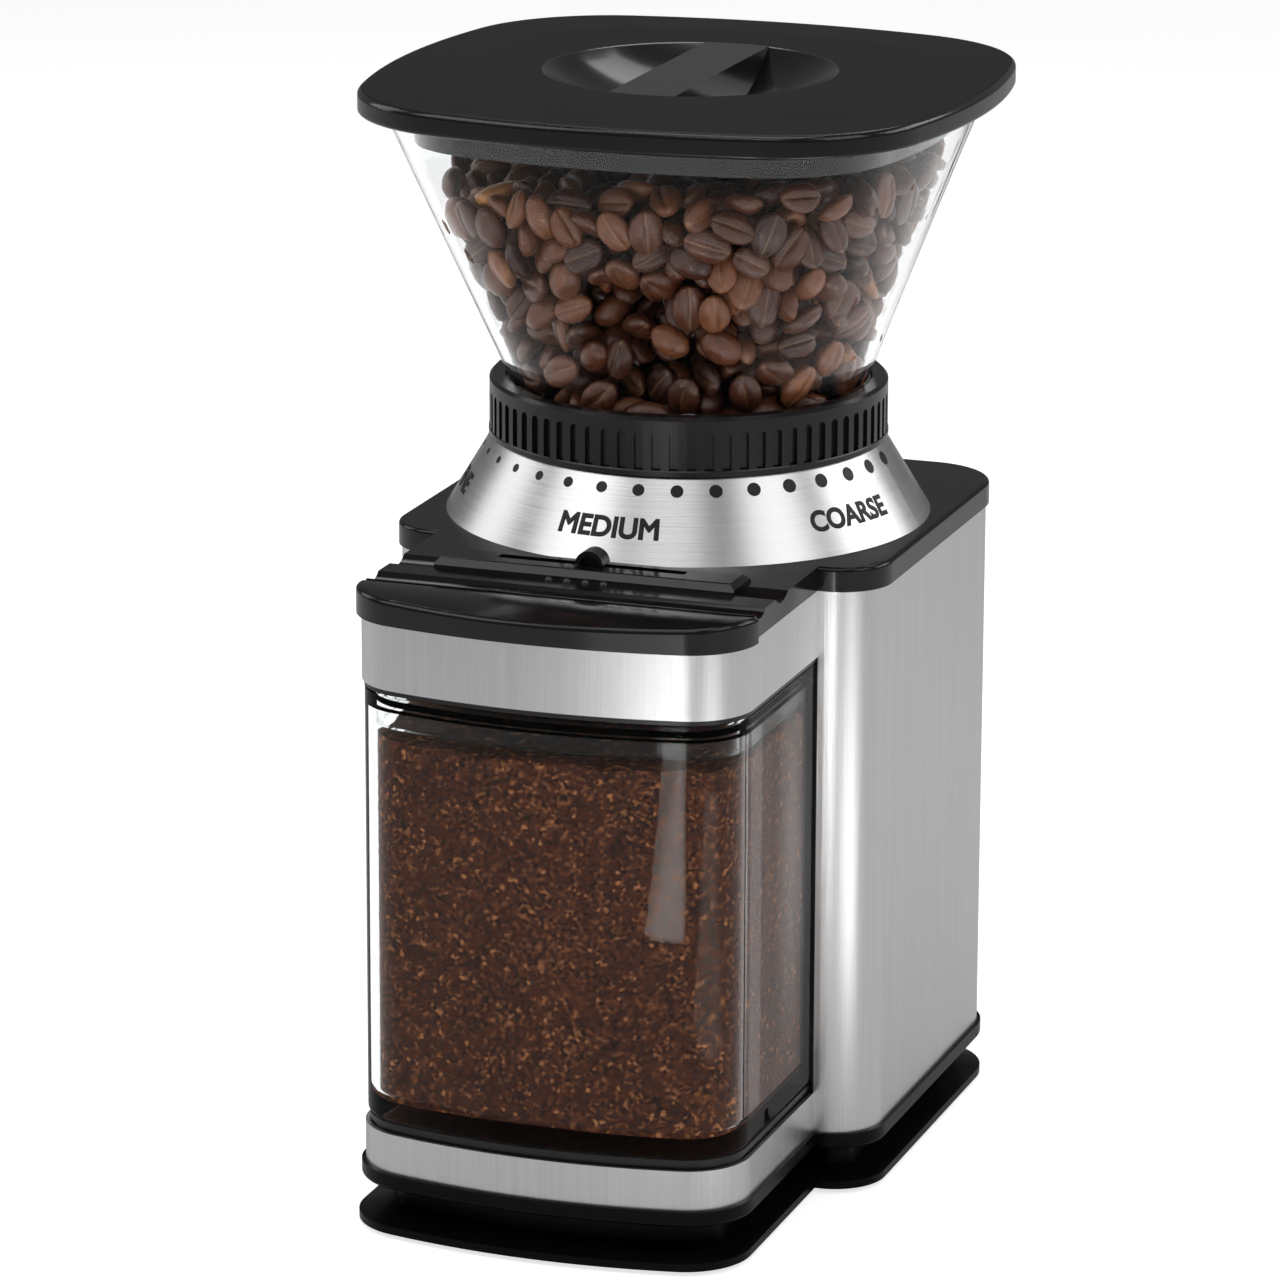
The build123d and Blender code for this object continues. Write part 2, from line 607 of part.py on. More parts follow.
with BuildPart() as hopper:
    with BuildSketch(axis_plane(RING_TOP)):
        add(nearly_round_plan(HOPPER_BASE_R - 0.4))
    with BuildSketch(axis_plane(HOPPER_TOP)):
        add(squircle_plan(HOPPER_HALF, 10.0, 36.0))
    loft(ruled=True)
    with BuildSketch(axis_plane(RING_BOTTOM + 2.3)):
        Circle(HOPPER_BASE_R)
    extrude(amount=RING_TOP - RING_BOTTOM - 2.3)
    with BuildSketch(axis_plane(RING_TOP)):
        add(nearly_round_plan(HOPPER_BASE_R - HOPPER_WALL - 0.4))
    with BuildSketch(axis_plane(HOPPER_TOP)):
        add(squircle_plan(HOPPER_HALF - HOPPER_WALL, 10.0, 34.0))
    loft(ruled=True, mode=Mode.SUBTRACT)
    with BuildSketch(axis_plane(RING_BOTTOM + 4.8)):
        Circle(HOPPER_BASE_R - HOPPER_WALL - 0.4)
    extrude(amount=RING_TOP - RING_BOTTOM - 4.8, mode=Mode.SUBTRACT)
    with BuildSketch(axis_plane(RING_BOTTOM)):
        Circle(34)
    extrude(amount=8, mode=Mode.SUBTRACT)
save(hopper, "hopper")

LID_ROUND = 1.6
DISH_ROUND = 1.2
DISH_SPHERE = (DISH_R**2 + DISH_DEPTH**2) / (2 * DISH_DEPTH)
DISH_CENTRE = LID_TOP - DISH_DEPTH + DISH_SPHERE
with BuildPart() as hopper_lid:
    with BuildSketch(axis_plane(LID_BOTTOM)):
        add(squircle_plan(LID_HALF))
    extrude(amount=LID_EDGE_TOP - LID_BOTTOM)
    with BuildSketch(axis_plane(LID_EDGE_TOP)):
        add(squircle_plan(LID_HALF))
    with BuildSketch(axis_plane(LID_TOP)):
        add(squircle_plan(LID_HALF - 22, 7.0, 28.0))
    loft(ruled=True)
    fillet(edges_at(hopper_lid, LID_EDGE_TOP), LID_ROUND)
    fillet(edges_at(hopper_lid, LID_BOTTOM), LID_ROUND / 2)
    with BuildSketch(axis_plane(LID_BOTTOM)):
        add(squircle_plan(LID_HALF - 3))
    extrude(amount=LID_EDGE_TOP - LID_BOTTOM - 2.6, mode=Mode.SUBTRACT)
    with BuildSketch(axis_plane(LID_EDGE_TOP - 2.6)):
        add(squircle_plan(HOPPER_HALF - 6.5, 9.0, 32.0))
        add(squircle_plan(HOPPER_HALF - 8.3, 9.0, 30.5), mode=Mode.SUBTRACT)
    extrude(amount=-(LID_EDGE_TOP - 2.6 - 259.5))
    with BuildSketch(axis_plane(LID_BOTTOM)):
        Circle(DISH_R + 3)
    extrude(amount=LID_EDGE_TOP - LID_BOTTOM)
    with BuildSketch(Plane.XZ.offset(-AXIS_Y)):
        with BuildLine():
            shell = DISH_SPHERE + 2.2
            rim_z = LID_EDGE_TOP - 0.4
            reach = acos((DISH_CENTRE - rim_z) / shell)
            ThreePointArc(
                (0, DISH_CENTRE - shell),
                (shell * sin(reach / 2), DISH_CENTRE - shell * cos(reach / 2)),
                (shell * sin(reach), rim_z),
            )
            Polyline((shell * sin(reach), rim_z), (0, rim_z), (0, DISH_CENTRE - shell))
        make_face()
    revolve(axis=Axis((0, AXIS_Y, 0), (0, 0, 1)))
    with Locations((0, AXIS_Y, DISH_CENTRE)):
        Sphere(DISH_SPHERE, mode=Mode.SUBTRACT)
    fillet(edges_at(hopper_lid, LID_TOP).filter_by(GeomType.CIRCLE), DISH_ROUND)
    with BuildSketch(axis_plane(LID_TOP - DISH_DEPTH - 0.6)):
        Rectangle(GRIP_WIDTH, 2 * DISH_R + 1)
    extrude(amount=DISH_DEPTH + 0.6)
save(hopper_lid, "hopper_lid")


# --- Grinding chamber and burrs -------------------------------------------
def disc(plan_z, height, *radii):
    """Concentric ring on the burr axis: outer radius, then an optional bore radius."""
    with BuildSketch(axis_plane(plan_z)) as plan:
        Circle(radii[0])
        if len(radii) > 1:
            Circle(radii[1], mode=Mode.SUBTRACT)
    extrude(plan.sketch, amount=height)


BUSH_R = 7.0
CHUTE_HALF = 11.0
CHUTE_FRONT = CHUTE_Y - 7.0
with BuildPart() as grind_chamber:
    disc(DECK_Z + BULKHEAD, 166.0 - DECK_Z - BULKHEAD, CHAMBER_R + 3.5)
    with BuildSketch(axis_plane(CHAMBER_FLOOR)):
        Circle(CHAMBER_R)
    extrude(amount=40, mode=Mode.SUBTRACT)
    with BuildSketch(axis_plane(DECK_Z)):
        Circle(BUSH_R)
    extrude(amount=20, mode=Mode.SUBTRACT)
    with BuildSketch(Plane.XZ.offset(-AXIS_Y + CHAMBER_R - 6)):
        with Locations((0, (CHAMBER_FLOOR + 152.0) / 2)):
            Rectangle(2 * CHUTE_HALF, 152.0 - CHAMBER_FLOOR)
    extrude(amount=20, mode=Mode.SUBTRACT)
save(grind_chamber, "grind_chamber")

with BuildPart() as grounds_chute:
    with BuildSketch(Plane.YZ):
        with BuildLine():
            Polyline(
                (AXIS_Y - 24, DECK_Z + BULKHEAD + 0.3), (AXIS_Y - 24, 154.4), (CHUTE_Y - 4, 154.4),
                (CHUTE_FRONT, 150), (CHUTE_FRONT, 136.9), (CHUTE_FRONT + 13, 136.9),
                (CHUTE_FRONT + 14, DECK_Z + BULKHEAD + 0.9), close=True,
            )
        make_face()
    extrude(amount=CHUTE_HALF + 1.8, both=True)
    with BuildSketch(Plane.YZ):
        with BuildLine():
            Polyline(
                (AXIS_Y - 20, CHAMBER_FLOOR), (AXIS_Y - 20, 152.0), (CHUTE_Y - 3, 152.0),
                (CHUTE_FRONT + 1.8, 149), (CHUTE_FRONT + 1.8, 130), (CHUTE_FRONT + 11.2, 130),
                (CHUTE_FRONT + 12, CHAMBER_FLOOR), close=True,
            )
        make_face()
    extrude(amount=CHUTE_HALF, both=True, mode=Mode.SUBTRACT)
    with BuildSketch(axis_plane(DECK_Z)):
        Circle(CHAMBER_R + 3.5)
    extrude(amount=40, mode=Mode.SUBTRACT)
save(grounds_chute, "grounds_chute")


def burr_grooves(face_z, depth, count, lead):
    """Slanted grooves across a burr face that leave cutting teeth between them."""
    with BuildSketch(axis_plane(face_z)) as grooves:
        with PolarLocations(BURR_R - 4, count):
            Rectangle(17, 2.0, rotation=lead)
    extrude(grooves.sketch, amount=depth, both=True, mode=Mode.SUBTRACT)


with BuildPart() as lower_burr:
    disc(151.0, LOWER_BURR_TOP - 151.0, BURR_R, SHAFT_R)
    with BuildSketch(axis_plane(154.6)):
        Circle(10.5)
    extrude(amount=10, mode=Mode.SUBTRACT)
    burr_grooves(LOWER_BURR_TOP, 1.6, 20, 25)
save(lower_burr, "lower_burr")

with BuildPart() as upper_burr:
    disc(UPPER_BURR_BOTTOM, 165.0 - UPPER_BURR_BOTTOM, BURR_R, 12.0)
    burr_grooves(UPPER_BURR_BOTTOM, 1.6, 20, -25)
save(upper_burr, "upper_burr")

HOLDER_R = COLLAR_R - 0.4
with BuildPart() as burr_holder:
    with BuildSketch(Plane.XZ.offset(-AXIS_Y)):
        with BuildLine():
            Polyline(
                (12.5, 165.0), (CHAMBER_R - 0.6, 165.0), (CHAMBER_R - 0.6, 167.2), (HOLDER_R, 167.2),
                (HOLDER_R, 179.6), (34.0, 179.6), (34.0, 177.0), (12.5, 168.5), close=True,
            )
        make_face()
    revolve(axis=Axis((0, AXIS_Y, 0), (0, 0, 1)))
    disc(UPPER_BURR_BOTTOM + 1.5, 165.0 - UPPER_BURR_BOTTOM - 1.5, CHAMBER_R - 0.6, BURR_R)
    with BuildSketch(axis_plane(170)):
        with PolarLocations(DRIVE_PIN_R, 2):
            Circle(1.7)
    extrude(amount=20, mode=Mode.SUBTRACT)
save(burr_holder, "burr_holder")

with BuildPart() as burr_carrier:
    disc(147.0, 4.0, BURR_R + 2, SHAFT_R)
    with BuildSketch(axis_plane(CHAMBER_FLOOR + 0.6)):
        with PolarLocations(0, 4):
            with Locations((20, 0)):
                Rectangle(16.6, 2.5)
    extrude(amount=4.5)
    disc(CHAMBER_FLOOR + 0.6, 4.5, 9.0, SHAFT_R)
save(burr_carrier, "burr_carrier")

with BuildPart() as burr_nut:
    with BuildSketch(axis_plane(154.6)):
        RegularPolygon(7, 6)
        Circle(2.5, mode=Mode.SUBTRACT)
    extrude(amount=4.6)
    fillet(burr_nut.edges().group_by(Axis.Z)[-1].filter_by(GeomType.LINE), 0.5)
save(burr_nut, "burr_nut")

with BuildPart() as burr_shaft:
    disc(97.0, 154.6 - 97.0, SHAFT_R)
    disc(154.6, 5.4, 2.5)
    disc(128.5, 1.0, SHAFT_R + 1.6)
    chamfer(burr_shaft.edges().group_by(Axis.Z)[0], 0.4)
save(burr_shaft, "burr_shaft")


# --- Gear train -------------------------------------------------------------
PRESSURE = radians(20)
ADDENDUM = 0.8 * MODULE
DEDENDUM = 1.0 * MODULE


def involute(angle):
    return tan(angle) - angle


def gear_plan(teeth, phase, bore):
    """Spur gear in plan: stub involute teeth, one of them centred at the phase angle."""
    pitch = MODULE * teeth / 2
    base = pitch * cos(PRESSURE)
    root, tip = pitch - DEDENDUM, pitch + ADDENDUM
    half_tooth = pi / (2 * teeth) - GEAR_BACKLASH / (2 * pitch) + involute(PRESSURE)

    def flank(radius, turn, side):
        start = max(radius, base)
        angle = turn + side * (half_tooth - involute(acos(base / start)))
        return radius * cos(angle), radius * sin(angle)

    with BuildSketch() as plan:
        with BuildLine():
            for tooth in range(teeth):
                turn = phase + 2 * pi * tooth / teeth
                following = turn + 2 * pi / teeth
                middle = (max(root, base) + tip) / 2
                foot = max(root, base)
                if root < base:
                    Line(flank(root, turn, -1), flank(base, turn, -1))
                ThreePointArc(flank(foot, turn, -1), flank(middle, turn, -1), flank(tip, turn, -1))
                Line(flank(tip, turn, -1), flank(tip, turn, 1))
                ThreePointArc(flank(tip, turn, 1), flank(middle, turn, 1), flank(foot, turn, 1))
                if root < base:
                    Line(flank(base, turn, 1), flank(root, turn, 1))
                Line(flank(root, turn, 1), flank(root, following, -1))
        make_face()
        Circle(bore, mode=Mode.SUBTRACT)
    return plan.sketch


TO_IDLER = atan2(IDLER_Y - MOTOR_Y, IDLER_X)
TO_BURR = atan2(AXIS_Y - IDLER_Y, -IDLER_X)
with BuildPart() as motor_pinion:
    with BuildSketch(Plane((0, MOTOR_Y, 102))):
        add(gear_plan(PINION_TEETH, TO_IDLER, SPINDLE_R))
    extrude(amount=8.5)
save(motor_pinion, "motor_pinion")

with BuildPart() as idler_gear:
    with BuildSketch(Plane((IDLER_X, IDLER_Y, 103))):
        add(gear_plan(WHEEL_TEETH, TO_IDLER + pi + pi / WHEEL_TEETH, SPINDLE_R + RUNNING))
    extrude(amount=6.5)
    with BuildSketch(Plane((IDLER_X, IDLER_Y, 109.5))):
        add(gear_plan(PINION_TEETH, TO_BURR, SPINDLE_R + RUNNING))
    extrude(amount=17)
save(idler_gear, "idler_gear")

with BuildPart() as burr_gear:
    with BuildSketch(Plane((0, AXIS_Y, 117.5))):
        add(gear_plan(WHEEL_TEETH, TO_BURR + pi + pi / WHEEL_TEETH, SHAFT_R))
    extrude(amount=8)
    disc(112.0, 16.5, 9.0, SHAFT_R)
save(burr_gear, "burr_gear")

with BuildPart() as idler_axle:
    with BuildSketch(Plane((IDLER_X, IDLER_Y, PLATE_Z))):
        Circle(SPINDLE_R)
    extrude(amount=33)
    with BuildSketch(Plane((IDLER_X, IDLER_Y, PLATE_Z + BULKHEAD))):
        Circle(5)
    extrude(amount=3.6)
    with BuildSketch(Plane((IDLER_X, IDLER_Y, 127.2))):
        Circle(4.6)
    extrude(amount=1.0)
save(idler_axle, "idler_axle")

with BuildPart() as gear_plate:
    with BuildSketch(Plane.XY.offset(PLATE_Z)):
        add(rear_plan(CHASSIS_INSET))
        with Locations((0, AXIS_Y)):
            Circle(BUSH_R, mode=Mode.SUBTRACT)
        with Locations((IDLER_X, IDLER_Y)):
            Circle(SPINDLE_R, mode=Mode.SUBTRACT)
        with Locations((0, MOTOR_Y)):
            Circle(6.5, mode=Mode.SUBTRACT)
    extrude(amount=BULKHEAD)
    screw_holes(PLATE_SCREWS, PLATE_Z + BULKHEAD, BULKHEAD)
save(gear_plate, "gear_plate")

with BuildPart() as chamber_deck:
    with BuildSketch(Plane.XY.offset(DECK_Z)):
        add(rear_plan(CHASSIS_INSET))
        with Locations((0, AXIS_Y)):
            Circle(BUSH_R, mode=Mode.SUBTRACT)
    extrude(amount=BULKHEAD)
    screw_holes(DECK_SCREWS, DECK_Z + BULKHEAD, BULKHEAD)
save(chamber_deck, "chamber_deck")

with BuildPart() as shaft_bushes:
    disc(PLATE_Z, 5.0, BUSH_R, SHAFT_R + RUNNING)
    disc(DECK_Z, CHAMBER_FLOOR - DECK_Z, BUSH_R, SHAFT_R + RUNNING)
save(shaft_bushes, "shaft_bushes")


# --- Motor ------------------------------------------------------------------
def motor_plane(z):
    return Plane((0, MOTOR_Y, z))


CAN_R = 26.0
with BuildPart() as motor_can:
    with BuildSketch(motor_plane(46)):
        Circle(CAN_R)
    extrude(amount=PLATE_Z - 46)
    with BuildSketch(motor_plane(46)):
        Circle(CAN_R - 1.5)
    extrude(amount=PLATE_Z - 46 - 1.5, mode=Mode.SUBTRACT)
    with BuildSketch(motor_plane(46)):
        Circle(6.5)
    extrude(amount=60, mode=Mode.SUBTRACT)
save(motor_can, "motor_can")

with BuildPart() as motor_end_cap:
    with BuildSketch(motor_plane(43)):
        Circle(CAN_R)
        Circle(6.5, mode=Mode.SUBTRACT)
        with PolarLocations(17, 6):
            Circle(3.2, mode=Mode.SUBTRACT)
    extrude(amount=3)
save(motor_end_cap, "motor_end_cap")

with BuildPart() as motor_bearings:
    for bottom in (43.0, PLATE_Z - 1.5):
        with BuildSketch(motor_plane(bottom)):
            Circle(6.5)
            Circle(SPINDLE_R + RUNNING, mode=Mode.SUBTRACT)
        extrude(amount=4.5)
save(motor_bearings, "motor_bearings")

with BuildPart() as motor_magnets:
    with BuildSketch(motor_plane(54)):
        Circle(CAN_R - 1.5)
        Circle(17.5, mode=Mode.SUBTRACT)
        Rectangle(60, 16, mode=Mode.SUBTRACT)
    extrude(amount=34)
save(motor_magnets, "motor_magnets")

with BuildPart() as carbon_brushes:
    with BuildSketch(motor_plane(48.5)):
        with Locations((-14.4, 0), (14.4, 0)):
            Rectangle(12, 4)
    extrude(amount=4)
save(carbon_brushes, "carbon_brushes")

with BuildPart() as rotor_shaft:
    with BuildSketch(motor_plane(30)):
        Circle(SPINDLE_R)
    extrude(amount=81)
save(rotor_shaft, "rotor_shaft")

with BuildPart() as rotor_core:
    with BuildSketch(motor_plane(55)):
        Circle(16.5)
        with PolarLocations(14.2, 10):
            SlotOverall(6.5, 2.2, mode=Mode.SUBTRACT)
        Circle(SPINDLE_R, mode=Mode.SUBTRACT)
    extrude(amount=32)
    with BuildSketch(motor_plane(48)):
        Circle(8)
        Circle(SPINDLE_R, mode=Mode.SUBTRACT)
    extrude(amount=7)
save(rotor_core, "rotor_core")

with BuildPart() as cooling_fan:
    with BuildSketch(motor_plane(32)):
        Circle(20)
        Circle(SPINDLE_R, mode=Mode.SUBTRACT)
    extrude(amount=1.5)
    with BuildSketch(motor_plane(33.5)):
        with PolarLocations(13, 9):
            Rectangle(13, 1.4, rotation=25)
        Circle(5)
        Circle(SPINDLE_R, mode=Mode.SUBTRACT)
    extrude(amount=6)
save(cooling_fan, "cooling_fan")


# --- Electrics --------------------------------------------------------------
with BuildPart() as power_board:
    with BuildSketch(Plane.YZ.offset(-52)):
        with Locations((22, 62)):
            Rectangle(56, 42)
    extrude(amount=1.6)
save(power_board, "power_board")

with BuildPart() as board_parts:
    with BuildSketch(Plane.YZ.offset(-50.4)):
        with Locations((6, 70)):
            Rectangle(16, 14)
        with Locations((30, 74)):
            Rectangle(20, 10)
        with Locations((14, 50), (38, 52)):
            Circle(5)
    extrude(amount=11)
save(board_parts, "board_parts")

with BuildPart() as jar_switch:
    with BuildSketch(Plane.XY.offset(PLUNGER_SPOT[1] - 5)):
        with Locations((PLUNGER_SPOT[0], -7)):
            Rectangle(16, 9)
    extrude(amount=10)
save(jar_switch, "jar_switch")

with BuildPart() as hopper_switch:
    with BuildSketch(Plane((0, AXIS_Y + CLICK_R, COVER_TOP))):
        Rectangle(12, 6)
    extrude(amount=5)
save(hopper_switch, "hopper_switch")

with BuildPart() as detent_leaf:
    with BuildSketch(Plane.XZ.offset(-AXIS_Y + CLICK_R + 0.8)):
        with BuildLine():
            Polyline(
                (-13, COVER_TOP), (-13, 175), (-2, 180.4), (0, 180.9), (2, 180.4), (2, 179.6), (-12, 174),
                (-12, COVER_TOP), close=True,
            )
        make_face()
    extrude(amount=-2.8)
save(detent_leaf, "detent_leaf")

# --- Interlock plungers -----------------------------------------------------
JAR_GAP = 0.3
with BuildPart() as jar_plunger:
    with BuildSketch(Plane.XZ.offset(-JAR_BACK - JAR_GAP)):
        with Locations(PLUNGER_SPOT):
            Circle(PLUNGER_R)
    extrude(amount=-(-14.0 - JAR_BACK - JAR_GAP))
    fillet(jar_plunger.edges().group_by(Axis.Y)[0], 0.8)
save(jar_plunger, "jar_plunger")

with BuildPart() as hopper_plunger:
    with BuildSketch(Plane((0, AXIS_Y + CLICK_R - 0.5, 168.5))):
        Circle(1.5)
    extrude(amount=RING_BOTTOM - 0.3 - 168.5)
    fillet(hopper_plunger.edges().group_by(Axis.Z)[-1], 0.6)
save(hopper_plunger, "hopper_plunger")

# --- Screws -----------------------------------------------------------------
with BuildPart() as housing_screws:
    for spots, top in ((PLATE_SCREWS, PLATE_Z + BULKHEAD), (DECK_SCREWS, DECK_Z + BULKHEAD)):
        with BuildSketch(Plane.XY.offset(top)):
            with Locations(*spots):
                Circle(SCREW_R)
        extrude(amount=-SCREW_LENGTH)
        with BuildSketch(Plane.XY.offset(top)):
            with Locations(*spots):
                Circle(3)
        extrude(amount=1.8)
        with BuildSketch(Plane.XY.offset(top + 1.8)):
            with Locations(*spots):
                Rectangle(4, 0.8)
                Rectangle(0.8, 4)
        extrude(amount=-0.8, mode=Mode.SUBTRACT)
    with BuildSketch(Plane.XY.offset(FLANGE_TOP - 1.5)):
        with Locations(*BASE_SCREWS):
            Circle(3)
    extrude(amount=1.5)
    with BuildSketch(Plane.XY.offset(FLANGE_TOP)):
        with Locations(*BASE_SCREWS):
            Circle(SCREW_R)
    extrude(amount=SCREW_LENGTH)
save(housing_screws, "housing_screws")
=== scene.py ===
# %% [markdown]
# # Burr coffee grinder
# The machine itself comes from CAD as a fixed frame: every moulding, steel sheet, gear and
# burr is already a solid in its place. This lesson gives each of them its finish, and models
# what CAD leaves out: the coffee beans, the ground coffee, the printing on the dial, the
# cup marks, and a start spring in place of the CAD one.

# %% Load the frame
import json
from math import atan2, cos, pi, radians, sin

import bpy
import numpy as np
from mathutils import Matrix, Vector
from mathutils.bvhtree import BVHTree
from mathutils.kdtree import KDTree

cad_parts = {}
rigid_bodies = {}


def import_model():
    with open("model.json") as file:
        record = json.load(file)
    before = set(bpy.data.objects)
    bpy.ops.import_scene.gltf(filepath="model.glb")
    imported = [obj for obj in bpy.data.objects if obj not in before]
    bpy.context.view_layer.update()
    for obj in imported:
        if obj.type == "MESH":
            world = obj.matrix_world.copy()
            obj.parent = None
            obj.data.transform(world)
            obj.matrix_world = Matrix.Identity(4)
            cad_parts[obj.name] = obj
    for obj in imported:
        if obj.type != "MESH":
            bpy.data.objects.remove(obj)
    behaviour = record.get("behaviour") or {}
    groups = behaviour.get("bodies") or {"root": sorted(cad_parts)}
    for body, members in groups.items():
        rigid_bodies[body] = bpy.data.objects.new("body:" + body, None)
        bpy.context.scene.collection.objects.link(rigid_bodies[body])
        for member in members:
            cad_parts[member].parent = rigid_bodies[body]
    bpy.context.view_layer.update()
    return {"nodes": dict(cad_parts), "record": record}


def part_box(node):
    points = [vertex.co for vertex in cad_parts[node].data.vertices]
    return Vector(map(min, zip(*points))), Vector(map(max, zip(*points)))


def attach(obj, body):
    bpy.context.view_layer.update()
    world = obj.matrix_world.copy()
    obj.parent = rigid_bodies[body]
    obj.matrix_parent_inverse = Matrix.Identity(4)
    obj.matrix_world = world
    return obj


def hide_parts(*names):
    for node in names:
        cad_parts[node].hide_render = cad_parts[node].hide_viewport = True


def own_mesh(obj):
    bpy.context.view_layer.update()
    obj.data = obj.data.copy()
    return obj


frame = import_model()
MM = 0.001

# %% [markdown]
# ## Camera
# A product shot is taken from far away with a long lens, so that upright edges stay nearly
# upright. The camera stands to the right of the grinder and looks down on it a little.

# %% Camera
AZIMUTH = radians(19.57)
ELEVATION = radians(15.61)
ROLL = radians(-0.18)
DISTANCE = 1.6168
LOOK_AT = Vector((-0.00424, -0.0035, 0.13207))
SENSOR = 36.0
LENS = 181.785


def direction(azimuth, elevation):
    """Unit vector from the grinder towards something seen at these angles."""
    level = cos(elevation)
    return Vector((sin(azimuth) * level, -cos(azimuth) * level, sin(elevation)))


backward = direction(AZIMUTH, ELEVATION)
lens = bpy.data.cameras.new("camera")
lens.sensor_width = SENSOR
lens.lens = LENS
lens.clip_start = 0.05
lens.clip_end = 50.0
camera = bpy.data.objects.new("camera", lens)
bpy.context.collection.objects.link(camera)
camera.location = LOOK_AT + DISTANCE * backward
aimed = (-backward).to_track_quat("-Z", "Y").to_matrix()
camera.rotation_euler = (aimed @ Matrix.Rotation(-ROLL, 3, "Z")).to_euler()
bpy.context.scene.camera = camera
print("camera at", tuple(round(c, 3) for c in camera.location))

# %% [markdown]
# ## Studio
# Shiny black plastic and steel show the room, so the room is part of their look. Upright
# faces mirror the pale floor in front of them, and level faces mirror what is behind the
# grinder, which is kept dark so that black stays black. Softboxes, and cards that lie on the
# floor, give the bright streaks.

# %% Softboxes
LIT_MIDDLE = Vector((0, 0, 0.14))


def softbox(name, azimuth, elevation, distance, width, height, radiance):
    """Rectangular lamp that faces the grinder. A white card in full light has a radiance of 1."""
    data = bpy.data.lights.new(name, "AREA")
    data.shape = "RECTANGLE"
    data.size = width
    data.size_y = height
    data.energy = radiance * width * height * pi * pi / 4
    lamp = bpy.data.objects.new(name, data)
    bpy.context.collection.objects.link(lamp)
    away = direction(radians(azimuth), radians(elevation))
    lamp.location = LIT_MIDDLE + distance * away
    lamp.rotation_euler = away.to_track_quat("Z", "Y").to_euler()
    lamp.visible_camera = False
    return lamp


softbox("key_light", -48, 46, 1.5, 0.9, 0.9, 1.9)
softbox("front_light", 8, 52, 1.5, 0.7, 0.5, 1.5)
softbox("top_light", 10, 84, 1.3, 0.8, 0.6, 2.2)
softbox("side_light", 72, 38, 1.4, 0.7, 0.8, 1.7)
softbox("far_side_light", 126, 26, 1.5, 1.1, 0.6, 2.4)
softbox("left_light", -95, 24, 1.4, 0.6, 0.9, 1.5)
softbox("back_light", 190, 56, 1.5, 1.0, 0.50, 3.0)


# %% Cards on the floor
CARD_CENTRE_Y = -0.09
CARD_LIFT = 0.002


def floor_card(name, azimuth, distance, width, length, radiance):
    """Lamp that lies on the floor and shines up. Upright faces mirror it as an upright band."""
    card = softbox(name, 0, 90, 0.0, width, length, radiance)
    ahead = direction(radians(azimuth), 0.0)
    card.location = Vector((0.0, CARD_CENTRE_Y, CARD_LIFT)) + distance * ahead
    card.rotation_euler = (pi, 0.0, radians(azimuth))
    return card


floor_card("jar_streak", 12, 0.40, 0.036, 0.30, 13.0)
floor_card("band_glow", 2, 0.62, 0.22, 0.26, 1.3)
floor_card("corner_streak", 62, 0.30, 0.17, 0.24, 2.7)

# %% World: white to the camera and through clear walls, dim to the reflections
world = bpy.data.worlds.new("studio")
bpy.context.scene.world = world
world.use_nodes = True
room = world.node_tree
room.nodes.clear()
ray = room.nodes.new("ShaderNodeLightPath")
direct = room.nodes.new("ShaderNodeMath")
direct.operation = "MAXIMUM"
room.links.new(ray.outputs["Is Camera Ray"], direct.inputs[0])
room.links.new(ray.outputs["Is Transmission Ray"], direct.inputs[1])
dim = room.nodes.new("ShaderNodeBackground")
dim.inputs["Color"].default_value = (0.12, 0.12, 0.124, 1.0)
white = room.nodes.new("ShaderNodeBackground")
white.inputs["Color"].default_value = (1.0, 1.0, 1.0, 1.0)
choice = room.nodes.new("ShaderNodeMixShader")
room.links.new(direct.outputs["Value"], choice.inputs["Fac"])
room.links.new(dim.outputs["Background"], choice.inputs[1])
room.links.new(white.outputs["Background"], choice.inputs[2])
world_output = room.nodes.new("ShaderNodeOutputWorld")
room.links.new(choice.outputs["Shader"], world_output.inputs["Surface"])
bpy.context.scene.view_settings.view_transform = "Standard"
print("world nodes:", len(room.nodes))

# %% [markdown]
# ## Shader arithmetic
# A finish is a small calculation: noise, stretched and scaled, that moves a colour or a
# roughness a little. Node by node that takes many lines, so one small class wraps a socket
# and lets Python's own signs add the Math nodes. `Finish.node` adds every other node.

# %% Wire and Finish


class Wire:
    """An output socket. Its arithmetic adds Math nodes to the same finish."""

    def __init__(self, finish, socket):
        self.finish = finish
        self.socket = socket

    def calculate(self, operation, first, second):
        return self.finish.node("Math", {"operation": operation}, {0: first, 1: second})

    def __add__(self, other):
        return self.calculate("ADD", self, other)

    def __sub__(self, other):
        return self.calculate("SUBTRACT", self, other)

    def __rsub__(self, other):
        return self.calculate("SUBTRACT", other, self)

    def __mul__(self, other):
        return self.calculate("MULTIPLY", self, other)

    __radd__ = __add__
    __rmul__ = __mul__


